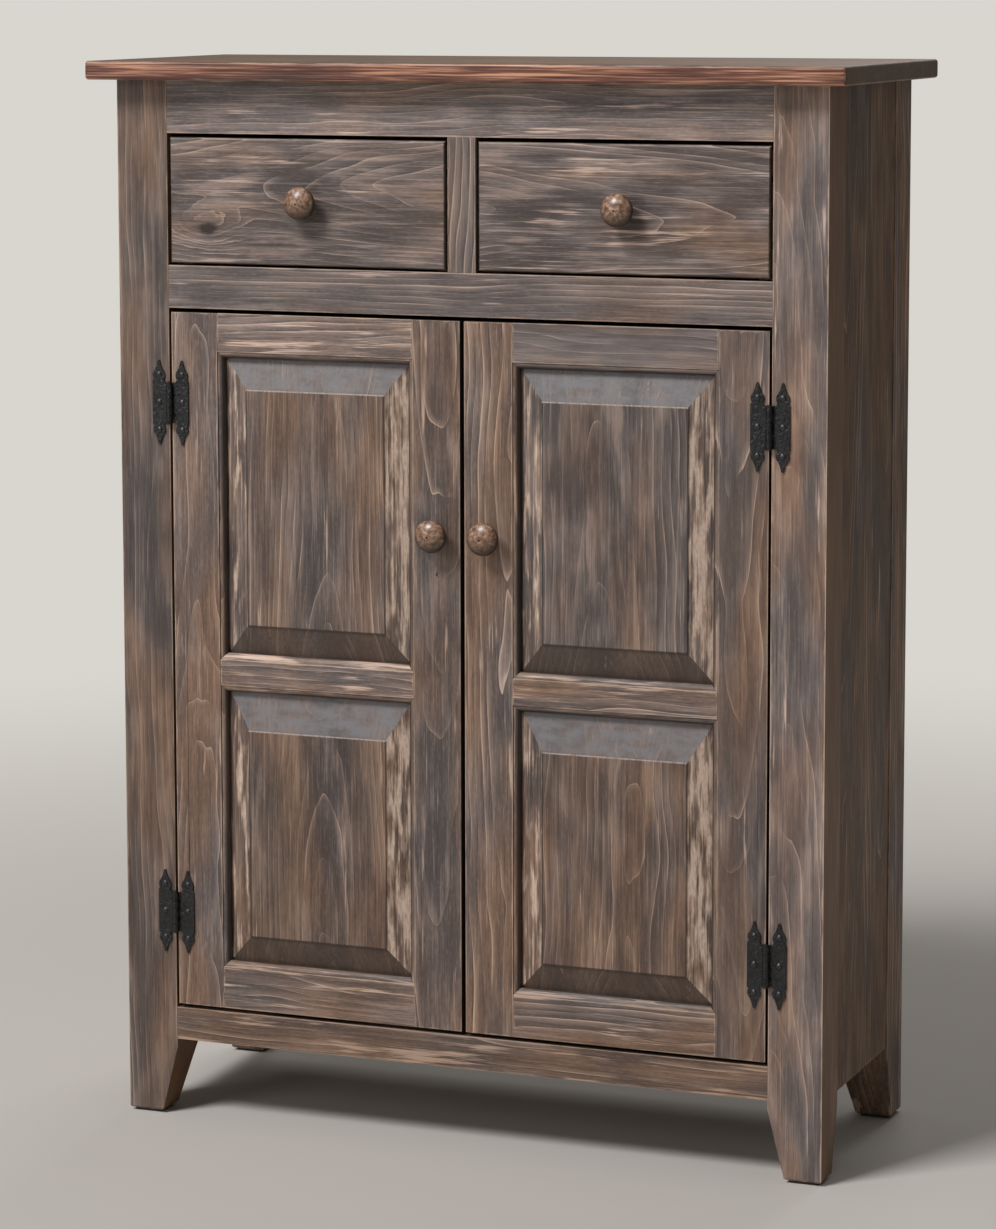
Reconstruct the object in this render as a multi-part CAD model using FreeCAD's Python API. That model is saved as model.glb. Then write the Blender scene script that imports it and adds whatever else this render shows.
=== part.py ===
import FreeCAD, Part
import math
import os

from FreeCAD import Vector

# A two-door, two-drawer jelly cupboard in pine. Millimetres, +Z up, +X to the right, +Y to the back.
# The pieces are drawn with x = 0 on the centre line, y = 0 on the front face of the posts and z = 0
# on the ground. On export they move back or forward so that the origin is the middle of the footprint.
# Left and right are as seen from the front.

# ---------------------------------------------------------------- driving dimensions
# Case
case_width = 840.0
case_depth = 318.0
overall_height = 1219.0
top_thickness = 21.0
top_overhang_side = 26.0
top_overhang_front = 29.0
top_overhang_back = 18.0
top_edge_radius = 3.5

# Corner posts, tapered on their two inner faces down to a smaller foot
post_width = 62.0
post_depth = 60.0
foot_width = 42.5
foot_depth = 40.0
foot_taper_height = 80.0
foot_chamfer = 2.0
glide_thickness = 3.0
glide_inset = 4.0
glide_corner_radius = 3.0

# Rails and mullion, flush with the posts
rail_thickness = 22.0
leg_clearance = 90.5
bottom_rail_height = 38.0
middle_rail_height = 48.5
top_rail_height = 60.0
rear_rail_height = 60.0
drawer_opening_height = 149.0
mullion_width = 33.0
tenon_thickness = 8.0
tenon_length = 25.0
tenon_shoulder = 8.0
mullion_tenon_length = 12.0
mullion_tenon_shoulder = 6.0
mortise_relief = 1.0

# Side panels, grooved into the posts
side_thickness = 18.0
side_recess = 1.5
side_tongue_thickness = 6.0
side_tongue_length = 8.0

# Tongue-and-groove back boards in a rebate of the rear posts
back_thickness = 10.0
back_rebate = 12.0
back_board_count = 7
back_tongue_thickness = 3.0
back_tongue_length = 6.0
back_vee = 1.5

# Cabinet floor, housed in the sides and tongued into the bottom rails
floor_thickness = 18.0
floor_dado_depth = 6.0
floor_tongue_thickness = 6.0
floor_tongue_length = 5.0
fit_clearance = 0.5

# Loose shelves on steel pins
shelf_thickness = 18.0
shelf_spacing = 270.0
shelf_setback = 6.0
shelf_clearance = 1.5
shelf_pin_inset = 30.0
shelf_pin_radius = 2.5
shelf_pin_plug = 10.0
shelf_pin_pad_length = 12.0
shelf_pin_pad_width = 9.0
shelf_pin_pad_thickness = 2.5
shelf_hole_pitch = 50.0
shelf_holes_each_way = 1

# Drawer runners with side guides, kickers above the drawers and stops at the back
runner_depth = 20.0
runner_bearing_width = 20.0
runner_tongue_thickness = 6.0
runner_tongue_length = 5.0
guide_height = 18.0
guide_clearance = 1.0
kicker_width = 27.0
stop_thickness = 5.6
stop_width = 14.0

# Drawers
drawer_gap_side = 2.75
drawer_gap_top = 4.5
drawer_gap_bottom = 2.5
drawer_running_clearance = 0.4
drawer_front_thickness = 20.0
drawer_front_radius = 3.5
drawer_side_thickness = 12.0
drawer_back_thickness = 12.0
drawer_back_drop = 6.0
drawer_bottom_thickness = 6.0
drawer_bottom_groove = 6.0
drawer_bottom_height = 10.0
dovetail_lap = 6.0
dovetail_slope = 1.0 / 7.0
dovetail_pin_width = 8.0
front_dovetail_count = 4
back_dovetail_count = 3

# Doors: cope-and-stick frames with raised panels
door_thickness = 20.0
door_gap_hinge = 3.0
door_gap_centre = 5.0
door_gap_top = 4.5
door_gap_bottom = 4.5
stile_flat = 57.0
door_top_rail_flat = 44.0
door_mid_rail_flat = 30.5
door_mid_rail_height = 377.0
door_bottom_rail_flat = 49.0
moulding_width = 7.0
moulding_step = 1.4
moulding_lip = 0.8
panel_groove_front = 10.5
panel_groove_width = 5.5
panel_groove_depth = 8.0
panel_expansion_gap = 1.0
panel_field_recess = 0.6
panel_field_step = 1.2
panel_bevel_side = 27.5
upper_panel_bevels = (33.0, 34.5)
lower_panel_bevels = (30.5, 43.0)

# H hinges. Each leaf is a plate whose two ends swell into a lobe round the end screw and rise to a
# spear tip. The spear's stations are (half width, height above the end screw), and each bow is how far
# the curve up to that station stands out from its chord.
hinge_from_top = 103.5
hinge_from_bottom = 109.0
hinge_thickness = 2.0
barrel_radius = 4.0
barrel_length = 46.5
knuckle_count = 5
knuckle_gap = 0.3
leaf_barrel_gap = 0.5
pin_radius = 2.0
pin_clearance = 0.05
pin_head_radius = 3.0
pin_head_height = 1.2
leaf_outer = 22.3
leaf_screw_offset = 14.3
leaf_screw_spacing = 31.6
leaf_screw_clearance = 0.3
spear_waist = (6.2, -4.7)
spear_shoulder = (5.0, 5.2)
spear_point = (1.3, 15.8)
spear_tip_rise = 1.0
spear_root_bow = 1.2
spear_lobe_bow = 1.9
spear_ogee_bow = 0.5
waist_chamfer = 2.0

# Screws
hinge_screw_radius = 1.9
hinge_screw_length = 16.0
hinge_screw_head_radius = 3.9
hinge_screw_head_height = 1.6
knob_screw_radius = 2.0
knob_screw_head_radius = 4.2
knob_screw_head_height = 2.2
knob_screw_bite = 12.0
top_screw_radius = 2.2
top_screw_head_radius = 4.3
top_screw_head_height = 3.0
top_screw_bite = 14.0
top_screw_wood = 22.0
top_screw_bore_radius = 5.0
top_screw_inset = 45.0
recess_length = 3.0
recess_width = 0.9
recess_depth = 0.9
screw_point_length = 3.0
hole_clearance = 0.05

# Knobs, turned with a domed crown, a round rim, a waisted neck and a thin collar
knob_radius = 18.5
knob_projection = 28.5
knob_crown_radius = 24.0
knob_rim_radius = 6.0
knob_neck_radius = 8.0
knob_neck_station = 6.0
knob_base_radius = 11.0
knob_collar = 1.8
knob_centre_hole_radius = 1.1
knob_centre_hole_depth = 3.0
door_knob_height = 564.0

# Magnetic catches on the cabinet floor and their plates on the doors
catch_air_gap = 0.5
catch_centre = 45.0
catch_length = 44.0
catch_depth = 14.0
catch_height = 13.0
catch_ear_length = 10.0
catch_ear_thickness = 3.0
catch_edge_radius = 2.0
catch_screw_radius = 1.6
plate_length = 38.0
plate_height = 12.0
plate_thickness = 1.5
plate_rise = 1.5

# ---------------------------------------------------------------- derived stations
case_half = case_width / 2
post_inner = case_half - post_width
case_top = overall_height - top_thickness
bottom_rail_top = leg_clearance + bottom_rail_height
drawer_opening_top = case_top - top_rail_height
drawer_opening_bottom = drawer_opening_top - drawer_opening_height
door_opening_top = drawer_opening_bottom - middle_rail_height

bottom_rail_z = (leg_clearance, bottom_rail_top)
middle_rail_z = (door_opening_top, drawer_opening_bottom)
top_rail_z = (drawer_opening_top, case_top)
front_rail_y = (0.0, rail_thickness)
back_face = case_depth - back_thickness
rear_rail_y = (back_face - rail_thickness, back_face)

side_outer = case_half - side_recess
side_inner = side_outer - side_thickness
between_posts_y = (post_depth, case_depth - post_depth)
floor_z = (bottom_rail_top - floor_thickness, bottom_rail_top)

runner_top = drawer_opening_bottom + drawer_gap_bottom - drawer_running_clearance
runner_z = (runner_top - runner_depth, runner_top)
stop_y = (rear_rail_y[0] - stop_thickness, rear_rail_y[0])
drawer_length = stop_y[0] - drawer_running_clearance
drawer_outer = post_inner - drawer_gap_side
drawer_inner = mullion_width / 2 + drawer_gap_side

door_hinge_edge = -(post_inner - door_gap_hinge)
door_centre_edge = -door_gap_centre / 2
hinge_arris = door_hinge_edge + stile_flat
lock_arris = door_centre_edge - stile_flat
door_z = (bottom_rail_top + door_gap_bottom, door_opening_top - door_gap_top)
mid_rail_z = (door_z[0] + door_mid_rail_height, door_z[0] + door_mid_rail_height + door_mid_rail_flat)
panel_groove_back = panel_groove_front + panel_groove_width
catch_front = door_thickness + plate_thickness + catch_air_gap
catch_y = (catch_front, catch_front + catch_depth)

pin_x = -(post_inner - door_gap_hinge / 2)
pin_y = -barrel_radius
hinge_heights = (door_z[1] - hinge_from_top, door_z[0] + hinge_from_bottom)
leaf_screw_heights = (-leaf_screw_spacing, 0.0, leaf_screw_spacing)

X = Vector(1, 0, 0)
Y = Vector(0, 1, 0)
Z = Vector(0, 0, 1)
ORIGIN = Vector(0, 0, 0)
near_zero = 0.001


# ---------------------------------------------------------------- general tools
def block(x, y, z):
    """Return a box that spans three (low, high) pairs."""
    size = (x[1] - x[0], y[1] - y[0], z[1] - z[0])
    return Part.makeBox(*size, Vector(x[0], y[0], z[0]))


def grown(span, low, high):
    """Return a (low, high) pair moved outwards by low and high."""
    return (span[0] - low, span[1] + high)


def centred(span, width):
    """Return a pair of the given width about the middle of span."""
    middle = (span[0] + span[1]) / 2
    return (middle - width / 2, middle + width / 2)


def prism(points, direction):
    """Return the solid that a closed outline of straight lines sweeps along direction."""
    wire = Part.makePolygon(points + points[:1])
    return Part.Face(wire).extrude(direction)


def arc(start, middle, end):
    """Return the edge of a round stretch through three points."""
    return Part.Arc(start, middle, end).toShape()


def arc_about(centre, start, end):
    """Return the shorter arc from start to end about a centre."""
    radius = (start - centre).Length
    outwards = (start - centre) + (end - centre)
    return arc(start, centre + outwards.normalize() * radius, end)


def bowed(start, end, bow):
    """Return an arc in the XZ plane whose middle stands off its chord by bow, to the right of its way."""
    chord = end - start
    right = Vector(chord.z, 0, -chord.x).normalize()
    return arc(start, (start + end) / 2 + right * bow, end)


def line(start, end):
    """Return a straight edge."""
    return Part.makeLine(start, end)


def joined(shapes):
    """Return one solid made of shapes that touch or overlap."""
    whole = shapes[0]
    for shape in shapes[1:]:
        whole = whole.fuse(shape)
    return whole.removeSplitter()


def mirror_x(shape):
    """Return the other-hand copy of a piece."""
    return shape.mirror(ORIGIN, X)


def both_hands(shape):
    """Return a piece and its other-hand copy."""
    return [shape, mirror_x(shape)]


def turned(profile, centre, axis=Y):
    """Return a profile drawn as (radius, station along Y) edges, revolved and set on centre along axis."""
    solid = Part.Face(Part.Wire(profile)).revolve(ORIGIN, Y, 360)
    solid.Placement = FreeCAD.Placement(centre, FreeCAD.Rotation(Y, axis))
    return solid


def rod(centre, axis, radius, length):
    """Return a cylinder that starts at centre."""
    return Part.makeCylinder(radius, length, centre, axis)


def edges_at(shape, test):
    """Return the edges whose every end passes the test."""
    return [edge for edge in shape.Edges if all(test(vertex.Point) for vertex in edge.Vertexes)]


def upright_edges(shape):
    """Return the edges that run along Z."""
    return [edge for edge in shape.Edges if edge.BoundBox.ZLength > near_zero
            and edge.BoundBox.XLength < near_zero and edge.BoundBox.YLength < near_zero]


def near(value, target):
    """Return whether two lengths are the same."""
    return abs(value - target) < near_zero


# ---------------------------------------------------------------- screws and knobs
def screw(centre, axis, radius, length, head_radius, head_height):
    """Return a dome-headed screw with its head's flat underside on centre and its shank along axis."""
    crown = Vector(0, -head_height, 0)
    shoulder = Vector(head_radius, 0, 0)
    dome_radius = (head_radius ** 2 + head_height ** 2) / (2 * head_height)
    corners = [shoulder, Vector(radius, 0, 0), Vector(radius, length - screw_point_length, 0),
               Vector(0, length, 0), crown]
    profile = [arc_about(crown + Y * dome_radius, crown, shoulder)]
    profile += [line(a, b) for a, b in zip(corners, corners[1:])]
    long_way = centred((0, 0), recess_length)
    short_way = centred((0, 0), recess_width)
    depth = (-head_height - 1, -head_height + recess_depth)
    recess = joined([block(long_way, depth, short_way), block(short_way, depth, long_way)])
    recess.Placement = FreeCAD.Placement(centre, FreeCAD.Rotation(Y, axis))
    return turned(profile, centre, axis).cut(recess)


def knob(x, z):
    """Return a turned knob on a front face. Crown, rim and neck are arcs that run into each other smoothly."""
    crown = Vector(0, -knob_projection, 0)
    crown_centre = crown + Y * knob_crown_radius
    rim_across = knob_radius - knob_rim_radius
    rim_drop = math.sqrt((knob_crown_radius - knob_rim_radius) ** 2 - rim_across ** 2)
    rim_centre = crown_centre + X * rim_across - Y * rim_drop
    brow = crown_centre + (rim_centre - crown_centre).normalize() * knob_crown_radius

    waist = Vector(knob_neck_radius, -knob_neck_station, 0)
    to_rim = rim_centre - waist
    neck_cove = (to_rim.Length ** 2 - knob_rim_radius ** 2) / (2 * (knob_rim_radius + to_rim.x))
    neck_centre = waist + X * neck_cove
    throat = rim_centre + (neck_centre - rim_centre).normalize() * knob_rim_radius
    foot_rise = knob_neck_station - knob_collar
    foot = neck_centre + Y * foot_rise - X * math.sqrt(neck_cove ** 2 - foot_rise ** 2)
    collar_top = Vector(knob_base_radius, -knob_collar, 0)
    seat = Vector(knob_base_radius, 0, 0)

    profile = [
        arc_about(crown_centre, crown, brow),
        arc(brow, rim_centre + X * knob_rim_radius, throat),
        arc(throat, waist, foot),
        line(foot, collar_top),
        line(collar_top, seat),
        line(seat, ORIGIN),
        line(ORIGIN, crown),
    ]
    centre_hole = rod(crown - Y, Y, knob_centre_hole_radius, knob_centre_hole_depth + 1)
    screw_hole = rod(ORIGIN, -Y, knob_screw_radius + hole_clearance, knob_screw_bite + mortise_relief)
    body = turned(profile, ORIGIN).cut(centre_hole).cut(screw_hole)
    body.translate(Vector(x, 0, z))
    return body


def knob_screw(x, z, thickness):
    """Return the screw that holds a knob through wood of the given thickness."""
    centre = Vector(x, thickness, z)
    length = thickness + knob_screw_bite
    return screw(centre, -Y, knob_screw_radius, length, knob_screw_head_radius, knob_screw_head_height)


def knob_hole(x, z, thickness):
    """Return the tool for a knob screw's hole."""
    return rod(Vector(x, 0, z), Y, knob_screw_radius + hole_clearance, thickness)


# ---------------------------------------------------------------- case joinery
def tenons(y, z, relief=0.0):
    """Return the two end tenons of a rail between the posts; relief deepens them to make mortises."""
    tenon_y = centred(y, tenon_thickness)
    tenon_z = grown(z, -tenon_shoulder, -tenon_shoulder)
    left = block((-post_inner - tenon_length - relief, -post_inner), tenon_y, tenon_z)
    return both_hands(left)


def rail(y, z):
    """Return a rail with its tenons."""
    return joined([block((-post_inner, post_inner), y, z)] + tenons(y, z))


def side_tongues(relief=0.0):
    """Return the two upright tongues of the left side panel; relief deepens them to make grooves."""
    x = centred((-side_outer, -side_inner), side_tongue_thickness)
    z = (leg_clearance, case_top)
    reach = side_tongue_length + relief
    front = block(x, (between_posts_y[0] - reach, between_posts_y[0]), z)
    back = block(x, (between_posts_y[1], between_posts_y[1] + reach), z)
    return [front, back]


def floor_tongues(relief=0.0):
    """Return the floor's front and back tongues; relief deepens them to make grooves."""
    z = centred(floor_z, floor_tongue_thickness)
    x = (-post_inner + fit_clearance, post_inner - fit_clearance)
    if relief:
        x = (-post_inner, post_inner)
    reach = floor_tongue_length + relief
    front = block(x, (front_rail_y[1] - reach, front_rail_y[1]), z)
    back = block(x, (rear_rail_y[0], rear_rail_y[0] + reach), z)
    return [front, back]


def runner_grooves():
    """Return the tools for the grooves that take the runners' end tongues."""
    z = centred(runner_z, runner_tongue_thickness)
    reach = runner_tongue_length + mortise_relief / 2
    x = (-post_inner, post_inner)
    front = block(x, (front_rail_y[1] - reach, front_rail_y[1]), z)
    back = block(x, (rear_rail_y[0], rear_rail_y[0] + reach), z)
    return front, back


def mullion_tenons(relief=0.0):
    """Return the mullion's lower and upper tenons; relief deepens them to make mortises."""
    half = mullion_width / 2 - mullion_tenon_shoulder
    y = centred(front_rail_y, tenon_thickness)
    reach = mullion_tenon_length + relief
    lower = block((-half, half), y, (drawer_opening_bottom - reach, drawer_opening_bottom))
    upper = block((-half, half), y, (drawer_opening_top, drawer_opening_top + reach))
    return [lower, upper]


def tapered_post():
    """Return a plain left post: square above, its two inner faces cut to a taper down to the foot."""
    post = block((-case_half, -post_inner), (0, post_depth), (glide_thickness, case_top))
    waste_at_side = prism([Vector(-post_inner, 0, foot_taper_height), Vector(-post_inner, 0, glide_thickness),
                           Vector(-case_half + foot_width, 0, glide_thickness)], Y * post_depth)
    waste_behind = prism([Vector(-case_half, post_depth, foot_taper_height),
                          Vector(-case_half, post_depth, glide_thickness),
                          Vector(-case_half, foot_depth, glide_thickness)], X * post_width)
    post = post.cut([waste_at_side, waste_behind])
    sole = edges_at(post, lambda point: near(point.z, glide_thickness))
    return post.makeChamfer(foot_chamfer, sole)


def hinge_screw_holes(side):
    """Return the tools for the hinge screws' holes; side is -1 for the post's and 1 for the door's."""
    radius = hinge_screw_radius + hole_clearance
    return [rod(Vector(pin_x + side * leaf_screw_offset, 0, z), Y, radius, hinge_screw_length)
            for z in all_hinge_screw_heights()]


def all_hinge_screw_heights():
    """Return the height of every screw in one column of a door's two hinges."""
    return [height + offset for height in hinge_heights for offset in leaf_screw_heights]


def front_post():
    """Return the front left post with its mortises, groove and screw holes."""
    tools = side_tongues(mortise_relief)
    for z in (bottom_rail_z, middle_rail_z, top_rail_z):
        tools += tenons(front_rail_y, z, mortise_relief)[:1]
    return tapered_post().cut(tools + hinge_screw_holes(-1))


def rear_post():
    """Return the rear left post with its mortises, groove and the rebate for the back boards."""
    post = tapered_post().mirror(Vector(0, case_depth / 2, 0), Y)
    tools = side_tongues(mortise_relief)
    for z in rear_rail_spans():
        tools += tenons(rear_rail_y, z, mortise_relief)[:1]
    rebate_x = (-post_inner - back_rebate, -post_inner)
    tools.append(block(rebate_x, (back_face, case_depth), (leg_clearance, case_top)))
    return post.cut(tools)


def rear_rail_spans():
    """Return the heights of the bottom, middle and top rear rails."""
    low = (leg_clearance, leg_clearance + rear_rail_height)
    high = (case_top - rear_rail_height, case_top)
    return low, middle_rail_z, high


def rear_rails():
    """Return the three rails that carry the back boards and the runners."""
    low, middle, high = [rail(rear_rail_y, z) for z in rear_rail_spans()]
    low = low.cut(floor_tongues(mortise_relief / 2)[1])
    middle = middle.cut(runner_grooves()[1])
    return [low, middle, high]


def side_panel():
    """Return the left side panel with its tongues, the floor's dado and the shelf pin holes."""
    body = block((-side_outer, -side_inner), between_posts_y, (leg_clearance, case_top))
    dado = block((-side_inner - floor_dado_depth, -side_inner), between_posts_y, floor_z)
    radius = shelf_pin_radius + hole_clearance
    steps = range(-shelf_holes_each_way, shelf_holes_each_way + 1)
    holes = [rod(Vector(-side_inner, y, z + step * shelf_hole_pitch), -X, radius, shelf_pin_plug)
             for y in shelf_pin_rows() for z in shelf_pin_heights() for step in steps]
    return joined([body] + side_tongues()).cut([dado] + holes)


def back_boards():
    """Return the upright back boards, each with a groove on its left edge and a tongue on its right."""
    half = post_inner + back_rebate
    pitch = 2 * half / back_board_count
    tongue_y = centred((back_face, case_depth), back_tongue_thickness)
    height = Vector(0, 0, case_top - leg_clearance)
    boards = []
    for index in range(back_board_count):
        left = -half + index * pitch
        right = left + pitch
        board = prism([Vector(x, y, leg_clearance) for x, y in [
            (left + back_vee, back_face), (right - back_vee, back_face), (right, back_face + back_vee),
            (right, case_depth), (left, case_depth), (left, back_face + back_vee)]], height)
        span = (leg_clearance, case_top)
        if index < back_board_count - 1:
            board = board.fuse(block((right, right + back_tongue_length), tongue_y, span))
        if index > 0:
            groove = (left, left + back_tongue_length + mortise_relief / 2)
            board = board.cut(block(groove, tongue_y, span))
        boards.append(board)
    return boards


def cabinet_floor():
    """Return the floor, notched round the posts, housed in the sides and tongued front and back."""
    inside = block((-post_inner + fit_clearance, post_inner - fit_clearance),
                   (front_rail_y[1], rear_rail_y[0]), floor_z)
    reach = side_inner + floor_dado_depth
    wings = block((-reach, reach), grown(between_posts_y, -fit_clearance, -fit_clearance), floor_z)
    return joined([inside, wings] + floor_tongues())


def shelf_tops():
    """Return the heights of the lower and the upper shelf's top."""
    return [bottom_rail_top + (index + 1) * shelf_spacing for index in range(2)]


def shelf_pin_rows():
    """Return the depths of the front and the rear column of shelf pins."""
    return grown(between_posts_y, -shelf_pin_inset, -shelf_pin_inset)


def shelf_pin_heights():
    """Return the height of each shelf's pins."""
    return [top - shelf_thickness - shelf_pin_pad_thickness / 2 for top in shelf_tops()]


def shelf(top):
    """Return a shelf with its top at the given height, notched round the posts."""
    y = (door_thickness + shelf_setback, rear_rail_y[0] - shelf_clearance)
    z = (top - shelf_thickness, top)
    narrow = post_inner - shelf_clearance
    wide = side_inner - shelf_clearance
    middle = block((-narrow, narrow), y, z)
    wings = block((-wide, wide), grown(between_posts_y, -shelf_clearance, -shelf_clearance), z)
    return joined([middle, wings])


def shelf_pins():
    """Return the steel pins: a round plug in the side panel and a flat pad under the shelf."""
    pins = []
    for y in shelf_pin_rows():
        for z in shelf_pin_heights():
            plug = rod(Vector(-side_inner, y, z), -X, shelf_pin_radius, shelf_pin_plug - mortise_relief)
            pad = block((-side_inner, -side_inner + shelf_pin_pad_length),
                        centred((y, y), shelf_pin_pad_width), centred((z, z), shelf_pin_pad_thickness))
            pins += both_hands(joined([plug, pad]))
    return pins


def runner_body(x_full, x_between_posts, guide_x):
    """Return a runner: a bearing strip between the rails, a part behind the posts and a raised guide."""
    y = (front_rail_y[1], rear_rail_y[0])
    between = grown(between_posts_y, -fit_clearance, -fit_clearance)
    guide_z = (runner_top, runner_top + guide_height)
    tongue_y = grown(y, runner_tongue_length, runner_tongue_length)
    strip = block(x_full, y, runner_z)
    tongue = block(x_full, tongue_y, centred(runner_z, runner_tongue_thickness))
    flank = block(x_between_posts, between, runner_z)
    guide = block(guide_x, between if guide_x[0] < -post_inner else y, guide_z)
    return joined([strip, tongue, flank, guide])


def drawer_runners():
    """Return the two outer runners and the centre one, which serves both drawers."""
    strip_edge = -drawer_outer + runner_bearing_width
    outer_strip = (-post_inner + fit_clearance, strip_edge)
    guide_face = -drawer_outer - guide_clearance
    outer = runner_body(outer_strip, (-side_inner, strip_edge), (-side_inner, guide_face))
    half = drawer_inner + runner_bearing_width
    guide_half = drawer_inner - guide_clearance
    centre = runner_body((-half, half), (-half, half), (-guide_half, guide_half))
    return both_hands(outer) + [centre]


def drawer_stops():
    """Return the blocks on the rear rail that stop the drawers flush with the face."""
    z = (runner_top, runner_top + guide_height)
    outer = block((-drawer_outer, -drawer_outer + stop_width), stop_y, z)
    inner = block((-drawer_inner - stop_width, -drawer_inner), stop_y, z)
    return both_hands(outer) + both_hands(inner)


def kicker_spans():
    """Return the widths of the left, centre and right kicker."""
    outer = (-post_inner + fit_clearance, -post_inner + fit_clearance + kicker_width)
    half = drawer_inner + runner_bearing_width
    return [outer, (-half, half), (-outer[1], -outer[0])]


def top_screw_places():
    """Return the x and y of every screw that holds the top."""
    rows = (front_rail_y[1] + top_screw_inset, rear_rail_y[0] - top_screw_inset)
    return [(sum(span) / 2, y) for span in kicker_spans() for y in rows]


def drawer_kickers():
    """Return the battens above the drawer sides, bored from below for the screws into the top."""
    y = (front_rail_y[1], rear_rail_y[0])
    kickers = []
    for span in kicker_spans():
        bar = block(span, y, top_rail_z)
        for x, row in top_screw_places():
            if span[0] < x < span[1]:
                bore = case_top - top_screw_wood - drawer_opening_top
                bar = bar.cut(rod(Vector(x, row, drawer_opening_top), Z, top_screw_bore_radius, bore))
                bar = bar.cut(rod(Vector(x, row, drawer_opening_top), Z, top_screw_radius + hole_clearance,
                                  top_rail_height))
        kickers.append(bar)
    return kickers


def top_screws():
    """Return the screws that hold the top down to the kickers."""
    length = top_screw_wood + top_screw_bite
    return [screw(Vector(x, y, case_top - top_screw_wood), Z, top_screw_radius, length,
                  top_screw_head_radius, top_screw_head_height) for x, y in top_screw_places()]


def top_board():
    """Return the top with its rounded edges and the pilot holes under it."""
    half = case_half + top_overhang_side
    slab = block((-half, half), (-top_overhang_front, case_depth + top_overhang_back), (case_top, overall_height))
    board = slab.makeFillet(top_edge_radius, slab.Edges)
    pilots = [rod(Vector(x, y, case_top), Z, top_screw_radius + hole_clearance, top_screw_bite + mortise_relief)
              for x, y in top_screw_places()]
    return board.cut(pilots)


def foot_glide():
    """Return the pad under the front left foot."""
    inset = glide_inset
    pad = block((-case_half + inset, -case_half + foot_width - inset), (inset, foot_depth - inset),
                (0, glide_thickness))
    return pad.makeFillet(glide_corner_radius, upright_edges(pad))


def catch():
    """Return the left door's magnetic catch on the cabinet floor, a rounded case between two ears."""
    x = centred((-catch_centre, -catch_centre), catch_length)
    case = block(x, catch_y, (bottom_rail_top, bottom_rail_top + catch_height))
    crown = edges_at(case, lambda point: near(point.z, bottom_rail_top + catch_height))
    case = case.makeFillet(catch_edge_radius, crown)
    ears = block(grown(x, catch_ear_length, catch_ear_length), catch_y,
                 (bottom_rail_top, bottom_rail_top + catch_ear_thickness))
    return joined([case, ears]).cut(catch_screw_holes(catch_ear_thickness, 0.0))


def catch_screw_holes(length, drop):
    """Return the tools for the catch's screw holes, from drop below the floor's face upwards."""
    offset = (catch_length + catch_ear_length) / 2
    places = (-catch_centre - offset, -catch_centre + offset)
    return [rod(Vector(x, sum(catch_y) / 2, bottom_rail_top - drop), Z, catch_screw_radius, length)
            for x in places]


# ---------------------------------------------------------------- hinges
def spear_end():
    """Return the edges of a leaf's upper end, from the barrel over the spear tip to the outer edge.

    The pin is at x = 0 and the middle of the hinge at z = 0.
    """
    def at(station, side):
        return Vector(leaf_screw_offset + side * station[0], 0, leaf_screw_spacing + station[1])

    root = Vector(barrel_radius + leaf_barrel_gap, 0, barrel_length / 2 - knuckle_gap)
    left_waist, right_waist = at(spear_waist, -1), at(spear_waist, 1)
    left_shoulder, right_shoulder = at(spear_shoulder, -1), at(spear_shoulder, 1)
    left_point, right_point = at(spear_point, -1), at(spear_point, 1)
    tip = (left_point + right_point) / 2 + Z * spear_tip_rise
    corner = Vector(leaf_outer, 0, right_waist.z - waist_chamfer)
    return [
        line(Vector(root.x, 0, 0), root),
        bowed(root, left_waist, spear_root_bow),
        bowed(left_waist, left_shoulder, -spear_lobe_bow),
        bowed(left_shoulder, left_point, spear_ogee_bow),
        arc(left_point, tip, right_point),
        bowed(right_point, right_shoulder, spear_ogee_bow),
        bowed(right_shoulder, right_waist, -spear_lobe_bow),
        line(right_waist, corner),
        line(corner, Vector(leaf_outer, 0, 0)),
    ]


def leaf_plate(side, height):
    """Return the flat of a leaf; side is -1 towards the post and 1 towards the door."""
    upper = spear_end()
    lower = [edge.mirror(ORIGIN, Z) for edge in upper]
    wire = Part.Wire(Part.__sortEdges__(upper + lower))
    plate = Part.Face(wire).extrude(-Y * hinge_thickness).removeSplitter()
    if side < 0:
        plate = mirror_x(plate)
    plate.translate(Vector(pin_x, 0, height))
    return plate


def knuckles(side, height):
    """Return the barrel pieces of one leaf, each with the strap that joins it to the flat."""
    pitch = barrel_length / knuckle_count
    first = 0 if side < 0 else 1
    pieces = []
    for index in range(first, knuckle_count, 2):
        low = height - barrel_length / 2 + index * pitch
        play_below = knuckle_gap / 2 if index > 0 else 0.0
        play_above = knuckle_gap / 2 if index < knuckle_count - 1 else 0.0
        span = (low + play_below, low + pitch - play_above)
        reach = sorted((pin_x, pin_x + side * (barrel_radius + 2 * leaf_barrel_gap)))
        pieces.append(rod(Vector(pin_x, pin_y, span[0]), Z, barrel_radius, span[1] - span[0]))
        pieces.append(block(reach, (-hinge_thickness, 0), span))
    return pieces


def hinge_leaf(side, height):
    """Return one leaf with its knuckles, its pin bore and its screw holes."""
    leaf = joined([leaf_plate(side, height)] + knuckles(side, height))
    bore = rod(Vector(pin_x, pin_y, height - barrel_length), Z, pin_radius + pin_clearance, 2 * barrel_length)
    holes = [rod(Vector(pin_x + side * leaf_screw_offset, 0, height + z), -Y,
                 hinge_screw_radius + leaf_screw_clearance, hinge_thickness) for z in leaf_screw_heights]
    return leaf.cut([bore] + holes)


def hinge_pin(height):
    """Return a hinge pin with a low head at each end of the barrel."""
    half = barrel_length / 2
    shank = rod(Vector(pin_x, pin_y, height - half), Z, pin_radius, barrel_length)
    heads = [rod(Vector(pin_x, pin_y, height + sign * half), sign * Z, pin_head_radius, pin_head_height)
             for sign in (-1, 1)]
    return joined([shank] + heads)


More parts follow.
